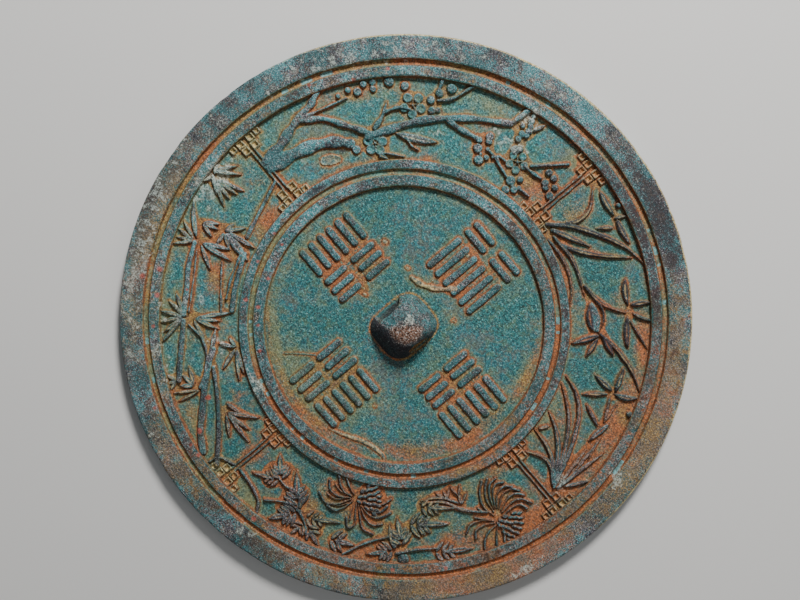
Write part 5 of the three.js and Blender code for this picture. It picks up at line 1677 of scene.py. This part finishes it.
class MIRROR_OT_build_field(bpy.types.Operator):
    """Carve the inner field with its four blocks of stroke rows"""
    bl_idname = "mirror.build_field"
    bl_label = "Build Inner Field"

    def execute(self, context):
        disc = Disc(context.scene.mirror_sizes)
        points, faces = ring_mesh(field_rings(disc), disc.plate - SLAB_DEPTH)
        add_carved_skin(context, disc, "inner_field", points, faces, [])
        return {"FINISHED"}


class MIRROR_OT_build_knob(bpy.types.Operator):
    """Shape the pierced knob, worn smooth"""
    bl_idname = "mirror.build_knob"
    bl_label = "Build Knob"

    def execute(self, context):
        disc = Disc(context.scene.mirror_sizes)
        points, faces = worn_knob(disc)
        add_skin(context, "knob", points, [faces], [], knob_masks(disc, points))
        return {"FINISHED"}


class MIRROR_OT_build_stage(bpy.types.Operator):
    """Lay the floor, place the lights and set the camera over the mirror"""
    bl_idname = "mirror.build_stage"
    bl_label = "Build Stage"

    def execute(self, context):
        scene = context.scene
        studio = scene.studio_settings
        mesh = bpy.data.meshes.new("floor")
        corners = [(x * FLOOR_HALF, y * FLOOR_HALF, -FLOOR_DROP)
                   for x, y in ((-1, -1), (1, -1), (1, 1), (-1, 1))]
        mesh.from_pydata(corners, [], [(0, 1, 2, 3)])
        floor = bpy.data.objects.new("floor", mesh)
        mesh.materials.append(floor_material(scene.patina_colours))
        scene.collection.objects.link(floor)

        world = bpy.data.worlds.new("Soft Studio")
        world.use_nodes = True
        sky = world.node_tree.nodes["Background"].inputs
        sky["Color"].default_value = (0.9, 0.95, 1.0, 1.0)
        sky["Strength"].default_value = 0.15
        scene.world = world

        up = Vector((math.sin(studio.roll), math.cos(studio.roll), 0.0))
        right = Vector((up.y, -up.x, 0.0))
        for name, power, ahead, aside, height, width in LIGHTS:
            place = up * ahead + right * aside + Vector((0.0, 0.0, height))
            self.light(scene, name, place, width, getattr(studio, power))
        self.camera(scene, studio)
        return {"FINISHED"}

    def light(self, scene, name, place, size, power):
        """A round light that looks at the middle of the mirror."""
        data = bpy.data.lights.new(name, "AREA")
        data.shape, data.size, data.energy = "DISK", size, power
        lamp = bpy.data.objects.new(name, data)
        lamp.location = place
        lamp.rotation_euler = (-Vector(place)).to_track_quat("-Z", "Y").to_euler()
        scene.collection.objects.link(lamp)

    def camera(self, scene, studio):
        """The view that fits the rim and rings, from the place of the field's middle in
        the picture and the lean of the mirror's face."""
        focal = studio.lens / SENSOR_WIDTH * PICTURE_WIDTH
        depth = studio.distance
        right, down = FIELD_IN_PICTURE
        middle = Vector((right / focal * depth, -down / focal * depth, -depth))
        lean = math.radians(LEAN_TURN)
        normal = Vector((-math.sin(lean) * math.sin(studio.tilt),
                         -math.cos(lean) * math.sin(studio.tilt), math.cos(studio.tilt)))
        across = (Vector((1, 0, 0)) - normal.x * normal).normalized()
        away = normal.cross(across)
        turned_x = across * math.cos(studio.roll) + away * math.sin(studio.roll)
        turned_y = -across * math.sin(studio.roll) + away * math.cos(studio.roll)
        to_view = Matrix((
            (turned_x.x, turned_y.x, normal.x, middle.x),
            (turned_x.y, turned_y.y, normal.y, middle.y),
            (turned_x.z, turned_y.z, normal.z, middle.z),
            (0, 0, 0, 1)))
        surface = Matrix.Translation((0, 0, -scene.mirror_sizes.plate))
        data = bpy.data.cameras.new("photograph_view")
        data.lens, data.sensor_width = studio.lens, SENSOR_WIDTH
        data.clip_start, data.clip_end = 0.01, 10.0
        view = bpy.data.objects.new("photograph_view", data)
        view.matrix_world = (to_view @ surface).inverted()
        scene.collection.objects.link(view)
        scene.camera = view


class MIRROR_PT_panel(bpy.types.Panel):
    """Buttons for each part of the mirror, and its sizes, colours and stage"""
    bl_idname = "MIRROR_PT_panel"
    bl_label = "Bronze Mirror"
    bl_space_type = "VIEW_3D"
    bl_region_type = "UI"
    bl_category = "Bronze Mirror"

    def draw(self, context):
        layout = self.layout
        layout.operator("mirror.build_stage")
        for name in ("disc", "pictures", "field", "knob"):
            layout.operator("mirror.build_" + name)
        for group in (context.scene.mirror_sizes, context.scene.patina_colours,
                      context.scene.studio_settings):
            box = layout.box()
            for name in group.__annotations__:
                box.prop(group, name)


CLASSES = (MirrorSizes, PatinaColours, StudioSettings, MIRROR_OT_build_disc,
           MIRROR_OT_build_pictures, MIRROR_OT_build_field, MIRROR_OT_build_knob,
           MIRROR_OT_build_stage, MIRROR_PT_panel)


def register():
    for cls in CLASSES:
        bpy.utils.register_class(cls)
    bpy.types.Scene.mirror_sizes = bpy.props.PointerProperty(type=MirrorSizes)
    bpy.types.Scene.patina_colours = bpy.props.PointerProperty(type=PatinaColours)
    bpy.types.Scene.studio_settings = bpy.props.PointerProperty(type=StudioSettings)


def unregister():
    del bpy.types.Scene.studio_settings
    del bpy.types.Scene.patina_colours
    del bpy.types.Scene.mirror_sizes
    for cls in reversed(CLASSES):
        bpy.utils.unregister_class(cls)


def main():
    register()
    bpy.ops.mirror.build_stage()
    bpy.ops.mirror.build_disc()
    bpy.ops.mirror.build_pictures()
    bpy.ops.mirror.build_field()
    bpy.ops.mirror.build_knob()


if __name__ == "__main__":
    main()
